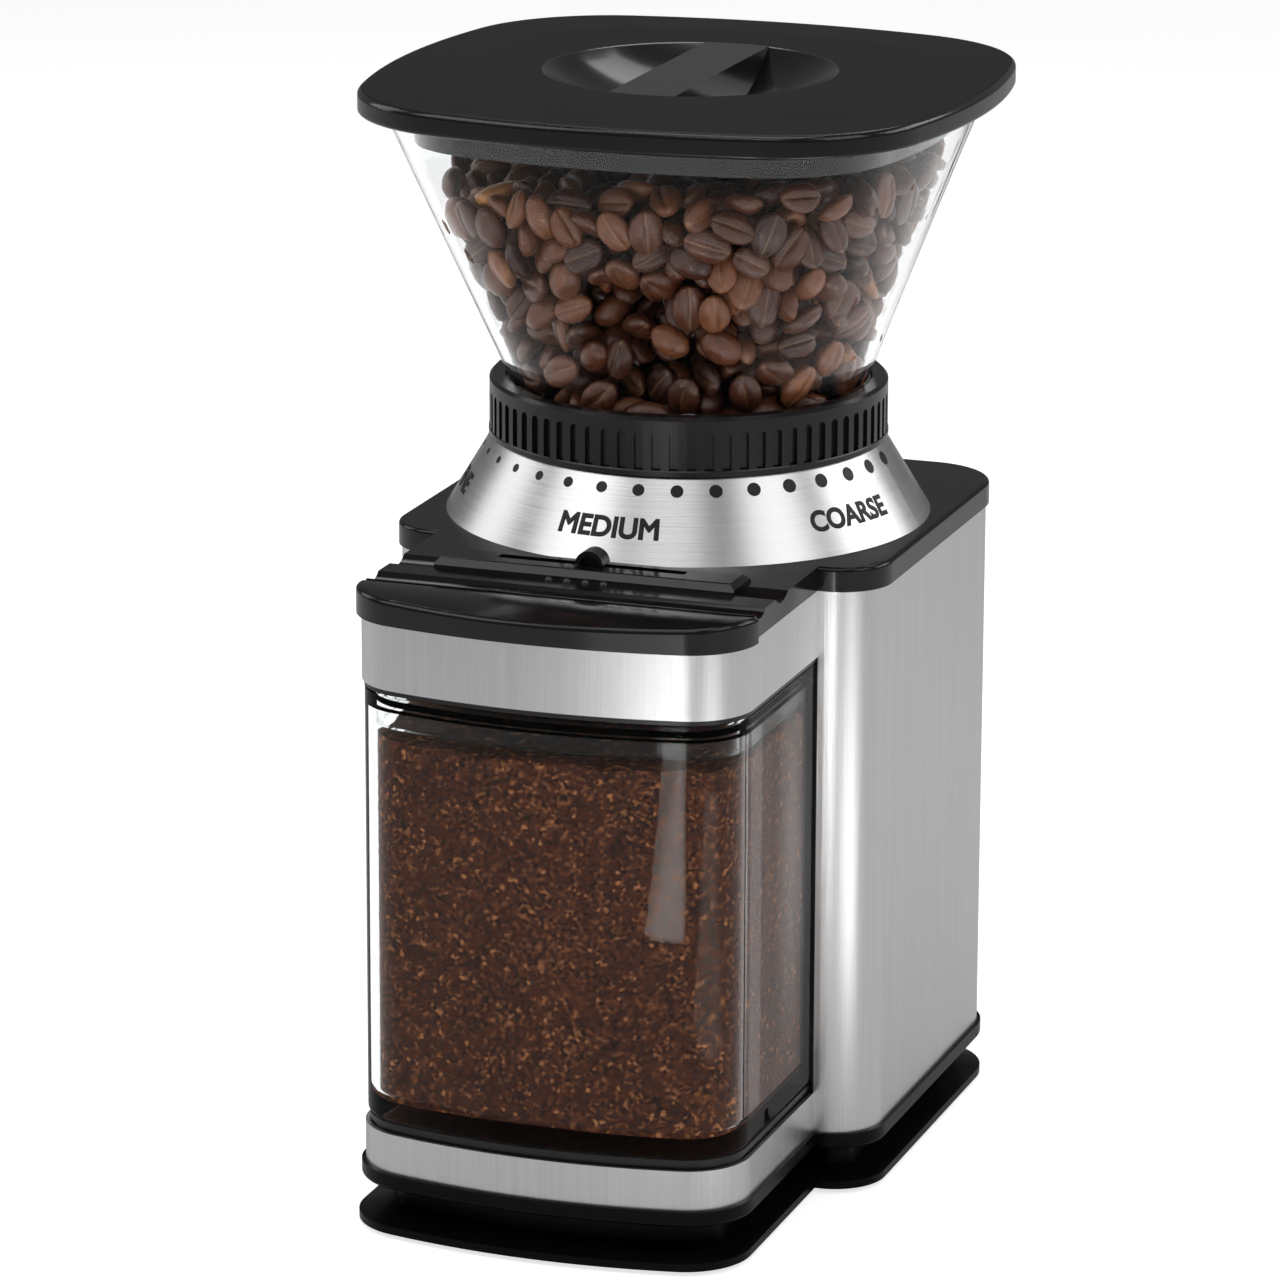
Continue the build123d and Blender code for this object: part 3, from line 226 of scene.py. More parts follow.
class Finish:
    """A material with one Principled shader, whose even values are set on its own sockets."""

    def __init__(self, name, **even):
        self.material = bpy.data.materials.new(name)
        self.material.use_nodes = True
        self.tree = self.material.node_tree
        self.shader = self.tree.nodes["Principled BSDF"]
        self.output = self.tree.nodes["Material Output"]
        self.place = self.node("TexCoord", {}, {}, "Object")
        for socket, value in even.items():
            self.shader.inputs[socket.replace("_", " ")].default_value = value

    def connect(self, socket, value):
        """Give a socket a value, or a link where the value is a Wire."""
        if isinstance(value, Wire):
            self.tree.links.new(value.socket, socket)
        else:
            socket.default_value = value

    def node(self, kind, settings, inputs, output=0):
        """Add a node: its type, its settings, its inputs, and which output to return."""
        made = self.tree.nodes.new("ShaderNode" + kind)
        for name, value in settings.items():
            if name == "stops":
                while len(made.color_ramp.elements) < len(value):
                    made.color_ramp.elements.new(0.5)
                for element, (position, colour) in zip(made.color_ramp.elements, value):
                    element.position = position
                    element.color = (*colour, 1.0)
            else:
                setattr(made, name, value)
        for name, value in inputs.items():
            self.connect(made.inputs[name], value)
        return Wire(self, made.outputs[output])

    def noise(self, scale, stretch=(1, 1, 1), detail=2.0, roughness=0.5):
        """Noise on the piece's own coordinates, finer along an axis with more stretch."""
        mapped = self.node("Mapping", {}, {"Vector": self.place, "Scale": stretch})
        values = {"Vector": mapped, "Scale": scale, "Detail": detail, "Roughness": roughness}
        return self.node("TexNoise", {}, values, "Fac")

    def ramp(self, factor, *stops):
        return self.node("ValToRGB", {"stops": stops}, {"Fac": factor}, "Color")

    def bump(self, height, depth, strength=1.0):
        """Raise the surface by height times depth, in metres, through the Normal socket."""
        values = {"Height": height, "Distance": depth, "Strength": strength}
        self.set(Normal=self.node("Bump", {}, values, "Normal"))

    def set(self, **varying):
        """Link what varies over the surface to the shader."""
        for socket, value in varying.items():
            self.connect(self.shader.inputs[socket.replace("_", " ")], value)


def shade(level, colour):
    """The colour, made darker or lighter by a level around 1."""
    return tuple(level * part for part in colour)


# %% [markdown]
# ## Brushed steel
# The wrap and the two bands are stainless sheet, brushed up and down with a belt. Each
# scratch is a groove a fraction of a millimetre wide and some centimetres long, so noise is
# stretched along the grain. It tints the metal, varies its roughness and tilts its surface,
# and the tilt is what spreads a reflection across the grain. The dial cone is spun, so its
# grain runs round: the same noise, long in X and Y and short in Z.

# %% Brushed finishes


SCRATCH_DEPTH = 0.03 * MM


def brushed(name, grain, level, rough):
    """Steel whose scratches are long along the axes where grain is small."""
    finish = Finish(name, Metallic=1.0)
    fine = finish.noise(2600.0, grain, detail=3.0)
    broad = finish.noise(420.0, grain, detail=2.0)
    cloud = finish.noise(9.0, detail=1.0)
    tone = fine * 0.5 + broad * 0.3 + cloud * 0.2
    low = shade(level * 0.90, (1.0, 0.995, 0.985))
    high = shade(level * 1.06, (1.0, 0.998, 0.992))
    finish.set(Base_Color=finish.ramp(tone, (0.30, low), (0.70, high)))
    finish.set(Roughness=fine * 0.10 + broad * 0.03 + (rough - 0.065))
    finish.bump(fine, SCRATCH_DEPTH)
    return finish.material


steel_upright = brushed("steel_brushed_upright", (1.0, 1.0, 0.012), 0.80, 0.34)
steel_round = brushed("steel_brushed_round", (0.012, 0.012, 1.0), 0.84, 0.30)
print("brushed:", steel_upright.name, "and", steel_round.name)

# %% [markdown]
# ## Black mouldings
# The cover, start bar and base are polished ABS: nearly a mirror, but with the faint
# waviness of a moulding and a little dust in its gloss. The lid and the grind ring come from
# a spark-eroded mould that leaves a fine satin grain, which is a much finer and deeper bump.

# %% Black finishes


def moulded(name, colour, rough, spread, grain_scale, grain_depth, **even):
    """Moulded plastic: an even colour, uneven gloss, and a grain of the given size."""
    finish = Finish(name, **even)
    patch = finish.noise(26.0, detail=2.0)
    grain = finish.noise(grain_scale, detail=2.0)
    dark = shade(0.88, colour)
    light = shade(1.12, colour)
    finish.set(Base_Color=finish.ramp(patch, (0.35, dark), (0.65, light)))
    finish.set(Roughness=patch * spread + grain * (spread * 0.5) + (rough - spread * 0.75))
    finish.bump(grain, grain_depth)
    return finish.material


black = (0.0075, 0.0070, 0.0078)
gloss_black = moulded("black_polished", black, 0.14, 0.06, 160.0, 0.00001, IOR=1.5)
satin_black = moulded("black_satin", (0.0065, 0.0052, 0.0060), 0.34, 0.06, 5200.0, 0.00002)
ring_black = moulded("black_ring", (0.014, 0.0125, 0.0135), 0.20, 0.06, 4200.0, 0.00001)
inner_black = moulded("black_moulding", (0.012, 0.011, 0.012), 0.30, 0.08, 2600.0, 0.00002)
deep_black = (0.0040, 0.0040, 0.0045)
base_black = moulded("black_base", deep_black, 0.24, 0.06, 160.0, 0.00001, Specular_IOR_Level=0.12)
rubber_black = moulded("black_rubber", (0.018, 0.017, 0.017), 0.75, 0.10, 1800.0, 0.00006)
print("black finishes:", sum(m.name.startswith("black") for m in bpy.data.materials))

# %% [markdown]
# ## Lid
# The lid is satin on its flat top and polished at its rim and inside the finger dish. It is
# one moulding, so one finish changes over it: a mask from the distance to the hopper's axis
# and from the height makes the polished part smoother and gives it a coat.

# %% Lid finish
AXIS_Y = sum(corner.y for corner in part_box("dial_cone")) / 2
DISH_R = 36.8 * MM

RIM_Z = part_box("hopper_lid")[1].z - 1.1 * MM
LID_GRAIN = 0.02 * MM

lid = Finish("black_lid", Specular_IOR_Level=0.16, Coat_Roughness=0.12)
patch = lid.noise(26.0, detail=2.0)
grain = lid.noise(5200.0, detail=2.0)
x, y, z = (lid.node("SeparateXYZ", {}, {"Vector": lid.place}, axis) for axis in "XYZ")
y = y - AXIS_Y
in_dish = lid.node("Math", {"operation": "LESS_THAN"}, {0: x * x + y * y, 1: DISH_R**2})
on_rim = lid.node("Math", {"operation": "LESS_THAN"}, {0: z, 1: RIM_Z})
polished = lid.node("Math", {"operation": "MAXIMUM"}, {0: in_dish, 1: on_rim})
lid.set(Base_Color=lid.ramp(patch, (0.35, (0.0056, 0.0046, 0.0052)), (0.65, (0.0074, 0.0060, 0.0068))))
lid.set(Roughness=patch * 0.06 + grain * 0.03 + 0.30 - polished * 0.12)
lid.set(Coat_Weight=polished * 0.9)
lid.bump(grain * (1 - polished * 0.85), LID_GRAIN)
print("polished dish radius", round(DISH_R / MM, 1), "mm")

# %% [markdown]
# ## Clear mouldings
# The hopper and the jar are clear plastic with real walls, so a refracting shader bends the
# view at every rim and corner by itself. It bends less than acrylic does, because each wall
# would otherwise mirror the pale floor over the dark coffee. Lamps would only reach the
# coffee as noisy caustics, so shadow rays pass straight through. Faint smears keep it real.

# %% Clear finish
clear = Finish(
    "acrylic_clear",
    Transmission_Weight=1.0,
    IOR=1.15,
    Base_Color=(0.94, 0.95, 0.95, 1.0),
)
smear = clear.noise(34.0, (1.0, 1.0, 0.35), detail=4.0)
smeared = {"Value": smear, "From Min": 0.55, "From Max": 0.80, "To Min": 0.012, "To Max": 0.045}
clear.set(Roughness=clear.node("MapRange", {}, smeared))
shadow_ray = clear.node("LightPath", {}, {}, "Is Shadow Ray")
lit_through = clear.node("BsdfTransparent", {}, {"Color": (0.93, 0.94, 0.94, 1.0)})
solid_look = Wire(clear, clear.shader.outputs["BSDF"])
mixed = clear.node("MixShader", {}, {0: shadow_ray, 1: solid_look, 2: lit_through})
clear.connect(clear.output.inputs["Surface"], mixed)
clear_plastic = clear.material
print("clear finish:", clear_plastic.name, "with", len(clear.tree.nodes), "nodes")

# %% [markdown]
# ## Working parts
# Motor, gears and burrs are out of sight, but they show when a cover is hidden, so each has
# the finish that its job gives it: ground shafts, cast burrs, zinc-plated sheet, white nylon.

# %% Metals and inner plastics


def metal(name, colour, rough, grain_scale, grain_depth):
    """Bare or plated metal with an uneven, slightly stained surface."""
    finish = Finish(name, Metallic=1.0)
    stain = finish.noise(90.0, detail=4.0)
    grain = finish.noise(grain_scale, detail=3.0)
    dark = shade(0.75, colour)
    light = shade(1.05, colour)
    finish.set(Base_Color=finish.ramp(stain, (0.3, dark), (0.7, light)))
    finish.set(Roughness=stain * 0.15 + grain * 0.10 + (rough - 0.12))
    finish.bump(grain, grain_depth)
    return finish.material


burr_steel = metal("steel_burr", (0.40, 0.40, 0.41), 0.42, 1500.0, 0.00008)
shaft_steel = metal("steel_ground", (0.68, 0.68, 0.70), 0.20, 3000.0, 0.00001)
bronze = metal("bronze_sintered", (0.62, 0.42, 0.20), 0.45, 4000.0, 0.00003)
zinc = metal("zinc_plated", (0.58, 0.60, 0.62), 0.34, 700.0, 0.00002)
copper = metal("copper_windings", (0.62, 0.30, 0.14), 0.35, 1200.0, 0.00020)
magnet = metal("magnet_ferrite", (0.10, 0.10, 0.11), 0.60, 1600.0, 0.00005)
nylon = moulded("nylon_white", (0.72, 0.70, 0.63), 0.42, 0.10, 1400.0, 0.00003)
frame_plastic = moulded("nylon_glass_filled", (0.055, 0.055, 0.058), 0.55, 0.10, 1600.0, 0.00006)
grey_parts = moulded("component_grey", (0.055, 0.055, 0.062), 0.45, 0.10, 1500.0, 0.00003)
board = moulded("circuit_board", (0.015, 0.095, 0.035), 0.30, 0.08, 800.0, 0.00003)
print("finishes made:", len(bpy.data.materials))

# %% A finish for every CAD node
finishes = {
    "gloss_black": gloss_black,
    "soft_black": satin_black,
    "black_plastic": inner_black,
    "brushed_steel": steel_upright,
    "clear_plastic": clear_plastic,
    "rubber": rubber_black,
    "burr_steel": burr_steel,
    "shaft_steel": shaft_steel,
    "gear_nylon": nylon,
    "frame_plastic": frame_plastic,
    "bronze": bronze,
    "zinc": zinc,
    "board": board,
    "grey_parts": grey_parts,
    "magnet": magnet,
    "copper": copper,
}
own_finish = {
    "dial_cone": steel_round,
    "grind_ring": ring_black,
    "hopper_lid": lid.material,
    "base_plate": base_black,
    "base_lip": base_black,
    "cord_spool": base_black,
}


def paint(piece, material):
    """Give a piece this one material."""
    piece.data.materials.clear()
    piece.data.materials.append(material)


slot_of = {row["node"]: row["material_slot"] for row in frame["record"]["subparts"]}
for name, piece in frame["nodes"].items():
    paint(piece, own_finish.get(name, finishes[slot_of[name]]))
print("finishes given to", len(frame["nodes"]), "CAD nodes")

# %% [markdown]
# ## Helpers for modelling
# A finished piece has its place in its mesh.

# %% Selecting and finishing


def begin():
    """Empty the selection, so that an operator touches only the new piece."""
    for other in bpy.context.scene.objects:
        other.select_set(False)
    bpy.context.view_layer.objects.active = None


def pick(piece, kind, wanted):
    """Select the mesh's vertices, edges or faces that wanted() says yes to, in edit mode."""
    bpy.ops.object.mode_set(mode="EDIT")
    bpy.ops.mesh.select_mode(type=kind)
    bpy.ops.mesh.select_all(action="DESELECT")
    bpy.ops.object.mode_set(mode="OBJECT")
    parts = {"VERT": piece.data.vertices, "EDGE": piece.data.edges, "FACE": piece.data.polygons}
    count = 0
    for part in parts[kind]:
        part.select = wanted(part)
        count += part.select
    bpy.ops.object.mode_set(mode="EDIT")
    return count


def apply_modifiers(piece):
    for modifier in list(piece.modifiers):
        bpy.ops.object.modifier_apply(modifier=modifier.name)


def settle_in(piece, name, body, material):
    """Name a finished piece, move its place into its mesh, and let it ride on its body."""
    begin()
    piece.select_set(True)
    bpy.context.view_layer.objects.active = piece
    bpy.ops.object.transform_apply(location=True, rotation=True, scale=True)
    piece.name = name
    paint(piece, material)
    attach(piece, body)
    low = [round(min(v.co[i] for v in piece.data.vertices) / MM, 1) for i in range(3)]
    high = [round(max(v.co[i] for v in piece.data.vertices) / MM, 1) for i in range(3)]
    print(name, "from", low, "to", high, "mm,", len(piece.data.polygons), "faces")


# %% [markdown]
# ## One coffee bean
# A roasted bean is half an oval: round on one side, nearly flat on the other, with a crease
# along the flat side. A coarse sphere is stretched and its lower half flattened. The middle
# line of that half is bevelled, which makes room for a narrow groove. It is used hundreds
# of times, so it has only a few dozen faces.

# %% Model the bean
BEAN_LONG = 5.7 * MM
BEAN_WIDE = 4.2 * MM
BEAN_HIGH = 3.5 * MM
FLATTEN = 0.50

begin()
bpy.ops.mesh.primitive_uv_sphere_add(segments=12, ring_count=7, radius=1.0)
bean = bpy.context.object
bean.rotation_euler = (0.0, pi / 2, 0.0)
bpy.ops.object.transform_apply(rotation=True)
bean.scale = (BEAN_LONG, BEAN_WIDE, BEAN_HIGH)
bpy.ops.object.transform_apply(scale=True)
print("bean mesh before shaping:", len(bean.data.polygons), "faces")

# %% Flatten its underside
THIN = 0.2 * MM
pick(bean, "VERT", lambda v: v.co.z < -THIN)
bpy.ops.transform.resize(value=(1.0, 1.0, FLATTEN), center_override=(0.0, 0.0, 0.0))
bpy.ops.object.mode_set(mode="OBJECT")
lowest = min(v.co.z for v in bean.data.vertices)
print("underside at", round(lowest / MM, 2), "mm")

# %% Press in the crease
CREASE_WIDE = 0.55 * MM
CREASE_DEEP = 0.9 * MM
CREASE_TOP = 0.45


def on_middle_line(edge):
    ends = [bean.data.vertices[i].co for i in edge.vertices]
    return all(abs(end.y) < THIN and end.z < -THIN for end in ends)


pick(bean, "EDGE", on_middle_line)
bpy.ops.mesh.bevel(offset=CREASE_WIDE, segments=2, affect="EDGES")
pick(bean, "VERT", lambda v: abs(v.co.y) < THIN / 2 and v.co.z < lowest * CREASE_TOP)
bpy.ops.transform.translate(value=(0.0, 0.0, CREASE_DEEP))
bpy.ops.object.mode_set(mode="OBJECT")
bpy.ops.object.shade_smooth()
print("one bean:", len(bean.data.polygons), "faces")

# %% [markdown]
# ## Pouring the beans
# Beans that are poured don't cut into each other or into the wall. A rigid body run of a
# thousand of them takes long, so each bean is stood for by two balls joined by a short rod.
# The balls are pushed out of each other and off the walls in turns until they fit. The walls
# are measured by casting rays from the hopper's axis, so the fill follows the real shape.

# %% Measure the inside of the hopper
RING_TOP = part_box("grind_ring")[1].z
HOPPER_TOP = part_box("hopper")[1].z
FILL_BOTTOM = RING_TOP - 6 * MM
FILL_TOP = HOPPER_TOP - 9 * MM
LEVELS = 12
BEARINGS = 72

hopper_tree = BVHTree.FromPolygons(
    [v.co for v in frame["nodes"]["hopper"].data.vertices],
    [p.vertices for p in frame["nodes"]["hopper"].data.polygons],
)
reach = np.zeros((LEVELS, BEARINGS + 1))
for level, z in enumerate(np.linspace(FILL_BOTTOM, FILL_TOP, LEVELS)):
    for step in range(BEARINGS + 1):
        bearing = 2 * pi * step / BEARINGS
        hit = hopper_tree.ray_cast(Vector((0, AXIS_Y, z)), Vector((cos(bearing), sin(bearing), 0)))
        reach[level, step] = hit[3]
print("inside radius from", round(reach.min() / MM, 1), "to", round(reach.max() / MM, 1), "mm")


def inner_radius(points):
    """Distance from the axis to the inside of the wall, at each point's height and bearing."""
    up = np.clip((points[:, 2] - FILL_BOTTOM) / (FILL_TOP - FILL_BOTTOM), 0, 1) * (LEVELS - 1)
    bearing = np.arctan2(points[:, 1] - AXIS_Y, points[:, 0]) % (2 * pi)
    around = bearing / (2 * pi) * BEARINGS
    low = np.minimum(up.astype(int), LEVELS - 2)
    left = np.minimum(around.astype(int), BEARINGS - 1)
    s = up - low
    t = around - left
    below = reach[low, left] * (1 - t) + reach[low, left + 1] * t
    above = reach[low + 1, left] * (1 - t) + reach[low + 1, left + 1] * t
    return below * (1 - s) + above * s


# %% Rules for the balls
BEANS = 1120
BALL = 3.3 * MM
ROD = 4.8 * MM
WALL_LEAN = 0.94
PUSH = 0.45
ROUNDS = 70
random = np.random.default_rng(11)


def heap_top(points):
    """Height of the heap: highest at the middle and the right, lower at the left wall."""
    half_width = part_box("hopper")[1].x
    sideways = points[:, 0] / half_width
    back = (points[:, 1] - AXIS_Y) / half_width
    lumps = 1.2 * np.sin(points[:, 0] * 190) + 1.2 * np.sin(points[:, 1] * 230 + 1.0)
    return FILL_TOP + (-3.0 + 4.0 * sideways - 3.5 * back**2 - 3.0 * sideways**2 + lumps) * MM


def keep_inside(points):
    """Move points off the wall, the floor and the top of the heap."""
    out = points - (0, AXIS_Y, 0)
    radius = np.maximum(np.hypot(out[:, 0], out[:, 1]), 1e-9)
    limit = inner_radius(points) - BALL / WALL_LEAN
    shrink = np.minimum(1.0, limit / radius)
    points[:, 0] *= shrink
    points[:, 1] = AXIS_Y + out[:, 1] * shrink
    points[:, 2] = np.clip(points[:, 2], FILL_BOTTOM + BALL, heap_top(points) - BALL)


def push_apart(balls):
    """Move balls of different beans off each other."""
    tree = KDTree(len(balls))
    for index, ball in enumerate(balls):
        tree.insert(ball, index)
    tree.balance()
    shift = np.zeros_like(balls)
    for index, ball in enumerate(balls):
        for near, other, distance in tree.find_range(ball, 2 * BALL):
            if other > index and other // 2 != index // 2:
                apart = (ball - np.array(near)) / max(distance, 1e-9)
                move = apart * (2 * BALL - distance) * PUSH
                shift[index] += move
                shift[other] -= move
    balls += shift


def hold_rods(balls):
    """Put the two balls of each bean back to their distance."""
    rod = balls[0::2] - balls[1::2]
    length = np.maximum(np.linalg.norm(rod, axis=1), 1e-9)[:, None]
    change = rod * (1 - ROD / length) / 2
    balls[0::2] -= change
    balls[1::2] += change


# %% Pour
def pour(count):
    """Ball centres, two rows for each bean, settled inside the hopper."""
    widest = reach.max()
    spread = random.uniform(-1, 1, (count * 3, 3)) * (widest, widest, 0.5)
    height = FILL_BOTTOM + (FILL_TOP - FILL_BOTTOM) * (spread[:, 2] + 0.5)
    middle = np.column_stack([spread[:, 0], AXIS_Y + spread[:, 1], height])
    radius = np.hypot(middle[:, 0], middle[:, 1] - AXIS_Y)
    middle = middle[radius < inner_radius(middle) - BALL][:count]
    heading = random.normal(size=middle.shape)
    heading /= np.linalg.norm(heading, axis=1)[:, None]
    balls = np.empty((2 * len(middle), 3))
    balls[0::2] = middle + heading * ROD / 2
    balls[1::2] = middle - heading * ROD / 2
    for _ in range(ROUNDS):
        push_apart(balls)
        hold_rods(balls)
        keep_inside(balls)
    hold_rods(balls)
    return balls


balls = pour(BEANS)
middles = (balls[0::2] + balls[1::2]) / 2
headings = balls[0::2] - balls[1::2]
print("beans poured:", len(middles))

# %% [markdown]
# ## Placing the beans
# Only the beans against the wall and on top can be seen, so the ones deep inside are left
# out. A bean that touches the wall lies along it, with its round or its creased side
# outwards. Each copy differs a little in size, and carries a number that its colour follows.

# %% Choose the beans that can be seen
DEEP = 21 * MM
HALF_FLAT = (BEAN_HIGH + lowest) / 2
bean_co = np.array([v.co for v in bean.data.vertices]) - (0, 0, HALF_FLAT)
bean_faces = [tuple(p.vertices) for p in bean.data.polygons]
in_crease = [float(abs(v.co.y) < THIN / 2 and v.co.z < 0) for v in bean.data.vertices]
wall_gap = inner_radius(middles) - np.hypot(middles[:, 0], middles[:, 1] - AXIS_Y)
top_gap = heap_top(middles) - middles[:, 2]
shown = [i for i in range(len(middles)) if min(wall_gap[i], top_gap[i]) < DEEP]
print("beans shown:", len(shown))

# %% Copy the bean to its places
WALL_ZONE = 9 * MM
TILT = 0.35
LEAN_OUT = 0.35

points = []
faces = []
tones = []
creases = []
for i in shown:
    along = Vector(headings[i]).normalized()
    outward = Vector((middles[i][0], middles[i][1] - AXIS_Y, -LEAN_OUT * wall_gap[i])).normalized()
    near_wall = wall_gap[i] < WALL_ZONE
    facing = outward if near_wall else Vector(random.normal(size=3))
    tilt = Vector(random.normal(size=3)) * TILT
    side = random.choice((-1.0, -1.0, 1.0))
    across = along.cross(facing * side + tilt).normalized()
    up = across.cross(along) * -1.0
    axes = np.array([along, across, -up]).T
    if np.linalg.det(axes) < 0:
        axes[:, 1] *= -1
    size = random.uniform(0.88, 1.10)
    stretch = np.array([random.uniform(0.93, 1.07), 1.0, random.uniform(0.92, 1.06)])
    first = len(points)
    points.extend((bean_co * (size * stretch)) @ axes.T + middles[i])
    faces.extend(tuple(first + v for v in face) for face in bean_faces)
    tones.extend([random.beta(1.6, 3.2)] * len(bean_co))
    creases.extend(in_crease)

bean_mesh = bpy.data.meshes.new("hopper_beans")
bean_mesh.from_pydata([tuple(p) for p in points], [], faces)
bean_mesh.attributes.new("roast", "FLOAT", "POINT").data.foreach_set("value", tones)
bean_mesh.attributes.new("crease", "FLOAT", "POINT").data.foreach_set("value", creases)
hopper_beans = bpy.data.objects.new("hopper_beans", bean_mesh)
bpy.context.collection.objects.link(hopper_beans)
bpy.data.objects.remove(bean)
bean_mesh.polygons.foreach_set("use_smooth", [True] * len(bean_mesh.polygons))
print("bean mesh:", len(bean_mesh.polygons), "faces")

# %% Roast finish
WRINKLE_DEPTH = 0.18 * MM
TAN = (0.42, 0.23, 0.11, 1.0)

roast = Finish("coffee_bean", Specular_IOR_Level=0.35, Coat_Roughness=0.24)
own_tone = roast.node("Attribute", {"attribute_name": "roast"}, {}, "Fac")
crease = roast.node("Attribute", {"attribute_name": "crease"}, {}, "Fac")
blotch = roast.noise(240.0, detail=3.0)
wrinkle = roast.noise(900.0, detail=3.0)
skin = roast.ramp(
    own_tone * 0.75 + blotch * 0.35 + wrinkle * 0.10,
    (0.25, (0.028, 0.0080, 0.0042)),
    (0.50, (0.078, 0.0235, 0.0105)),
    (0.75, (0.165, 0.0560, 0.0210)),
    (0.98, (0.420, 0.1750, 0.0500)),
)
silverskin = crease * crease * blotch * 0.7
roast.set(
    Base_Color=roast.node("Mix", {"data_type": "RGBA"}, {0: silverskin, 6: skin, 7: TAN}, 2),
    Roughness=wrinkle * 0.20 + 0.24,
    Coat_Weight=blotch * 0.30,
)
roast.bump(wrinkle, WRINKLE_DEPTH)
settle_in(hopper_beans, "hopper_beans", "hopper", roast.material)

# %% [markdown]
# ## Ground coffee
# The jar is nearly full of grounds, heaped under the chute that drops them. The charge
# starts as a cube at its size with soft edges. A voxel remesh makes an even mesh of it, its
# sides are drawn in to the bowed walls, its top is heaped up, and a displacement by small
# noise turns its surface into grains.

# %% Measure the inside of the jar
JAR_LOW, JAR_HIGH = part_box("grounds_jar")
JAR_WALL = 2.5 * MM
JAR_FLOOR = 5.0 * MM
SLACK = 0.35 * MM
jar_middle_y = (JAR_LOW.y + JAR_HIGH.y) / 2
jar_tree = BVHTree.FromPolygons(
    [v.co for v in frame["nodes"]["grounds_jar"].data.vertices],
    [p.vertices for p in frame["nodes"]["grounds_jar"].data.polygons],
)
PLAN_STEPS = 720
plan_level = (JAR_LOW.z + JAR_HIGH.z) / 2
plan_reach = np.zeros(PLAN_STEPS + 1)
for step in range(PLAN_STEPS + 1):
    bearing = 2 * pi * step / PLAN_STEPS
    ray_start = Vector((0, jar_middle_y, plan_level))
    plan_reach[step] = jar_tree.ray_cast(ray_start, Vector((cos(bearing), sin(bearing), 0)))[3]
print("jar is", round(2 * plan_reach[0] / MM, 1), "mm wide inside")

# %% Model the charge of grounds
FILL_HEIGHT = 0.1250
GRAIN_MESH = 0.85 * MM
SOFT_EDGE = 1.5 * MM

lowest_grounds = JAR_LOW.z + JAR_FLOOR - SLACK
begin()
bpy.ops.mesh.primitive_cube_add(size=1.0, location=(0, jar_middle_y, (lowest_grounds + FILL_HEIGHT) / 2))
grounds = bpy.context.object
wide = 2 * (JAR_HIGH.x - JAR_WALL)
deep = JAR_HIGH.y - JAR_LOW.y - 2 * JAR_WALL
grounds.scale = (wide, deep, FILL_HEIGHT - lowest_grounds)
bpy.ops.object.transform_apply(location=True, rotation=True, scale=True)
pick(grounds, "EDGE", lambda edge: True)
bpy.ops.mesh.bevel(offset=SOFT_EDGE, segments=3, affect="EDGES")
bpy.ops.object.mode_set(mode="OBJECT")
remesh = grounds.modifiers.new("even_mesh", "REMESH")
remesh.mode = "VOXEL"
remesh.voxel_size = GRAIN_MESH
apply_modifiers(grounds)
print("grounds:", len(grounds.data.polygons), "faces")

# %% Draw the sides in to the walls and heap the top
HEAP_HIGH = 5.5 * MM
HEAP_WIDE = 30 * MM
HEAP_DEEP = 20 * MM
TOP_ZONE = 7 * MM
LUMP_HIGH = 0.5 * MM
MOUTH_AHEAD = 18 * MM
CHUTE_Y = sum(corner.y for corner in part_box("grounds_chute")) / 2 - MOUTH_AHEAD

co = np.array([v.co for v in grounds.data.vertices])
off_x = co[:, 0]
off_y = co[:, 1] - jar_middle_y
bearing = (np.arctan2(off_y, off_x) % (2 * pi)) / (2 * pi) * PLAN_STEPS
limit = np.interp(bearing, np.arange(PLAN_STEPS + 1), plan_reach) - SLACK
shrink = np.minimum(1.0, limit / np.maximum(np.hypot(off_x, off_y), 1e-9))
co[:, 0] = off_x * shrink
co[:, 1] = jar_middle_y + off_y * shrink
rise = np.clip((co[:, 2] - (FILL_HEIGHT - TOP_ZONE)) / TOP_ZONE, 0, 1)
heap = np.exp(-((co[:, 0] / HEAP_WIDE) ** 2) - ((co[:, 1] - CHUTE_Y) / HEAP_DEEP) ** 2)
lumps = np.sin(co[:, 0] * 210 + 0.5) * np.sin(co[:, 1] * 260)
lumps += 0.6 * np.sin(co[:, 0] * 420 + co[:, 1] * 380)
co[:, 2] += rise * (heap * HEAP_HIGH + lumps * LUMP_HIGH)
grounds.data.vertices.foreach_set("co", co.ravel())
print("heap top at", round(co[:, 2].max() / MM, 1), "mm")

# %% Raise the grains
GRAIN_SIZE = 1.0 * MM
GRAIN_LIFT = 0.35 * MM
noise = bpy.data.textures.new("grain", "CLOUDS")
noise.noise_scale = GRAIN_SIZE
noise.noise_depth = 1
grains = grounds.modifiers.new("grains", "DISPLACE")
grains.texture = noise
grains.texture_coords = "LOCAL"
grains.strength = GRAIN_LIFT
grains.mid_level = 0.8
begin()
grounds.select_set(True)
bpy.context.view_layer.objects.active = grounds
apply_modifiers(grounds)
bpy.ops.object.shade_smooth()
print("grain", GRAIN_SIZE / MM, "mm across, raised", GRAIN_LIFT / MM, "mm")

# %% Ground coffee finish
GRAIN_DEPTH = 0.5 * MM
CHAFF_ABOVE = 0.95

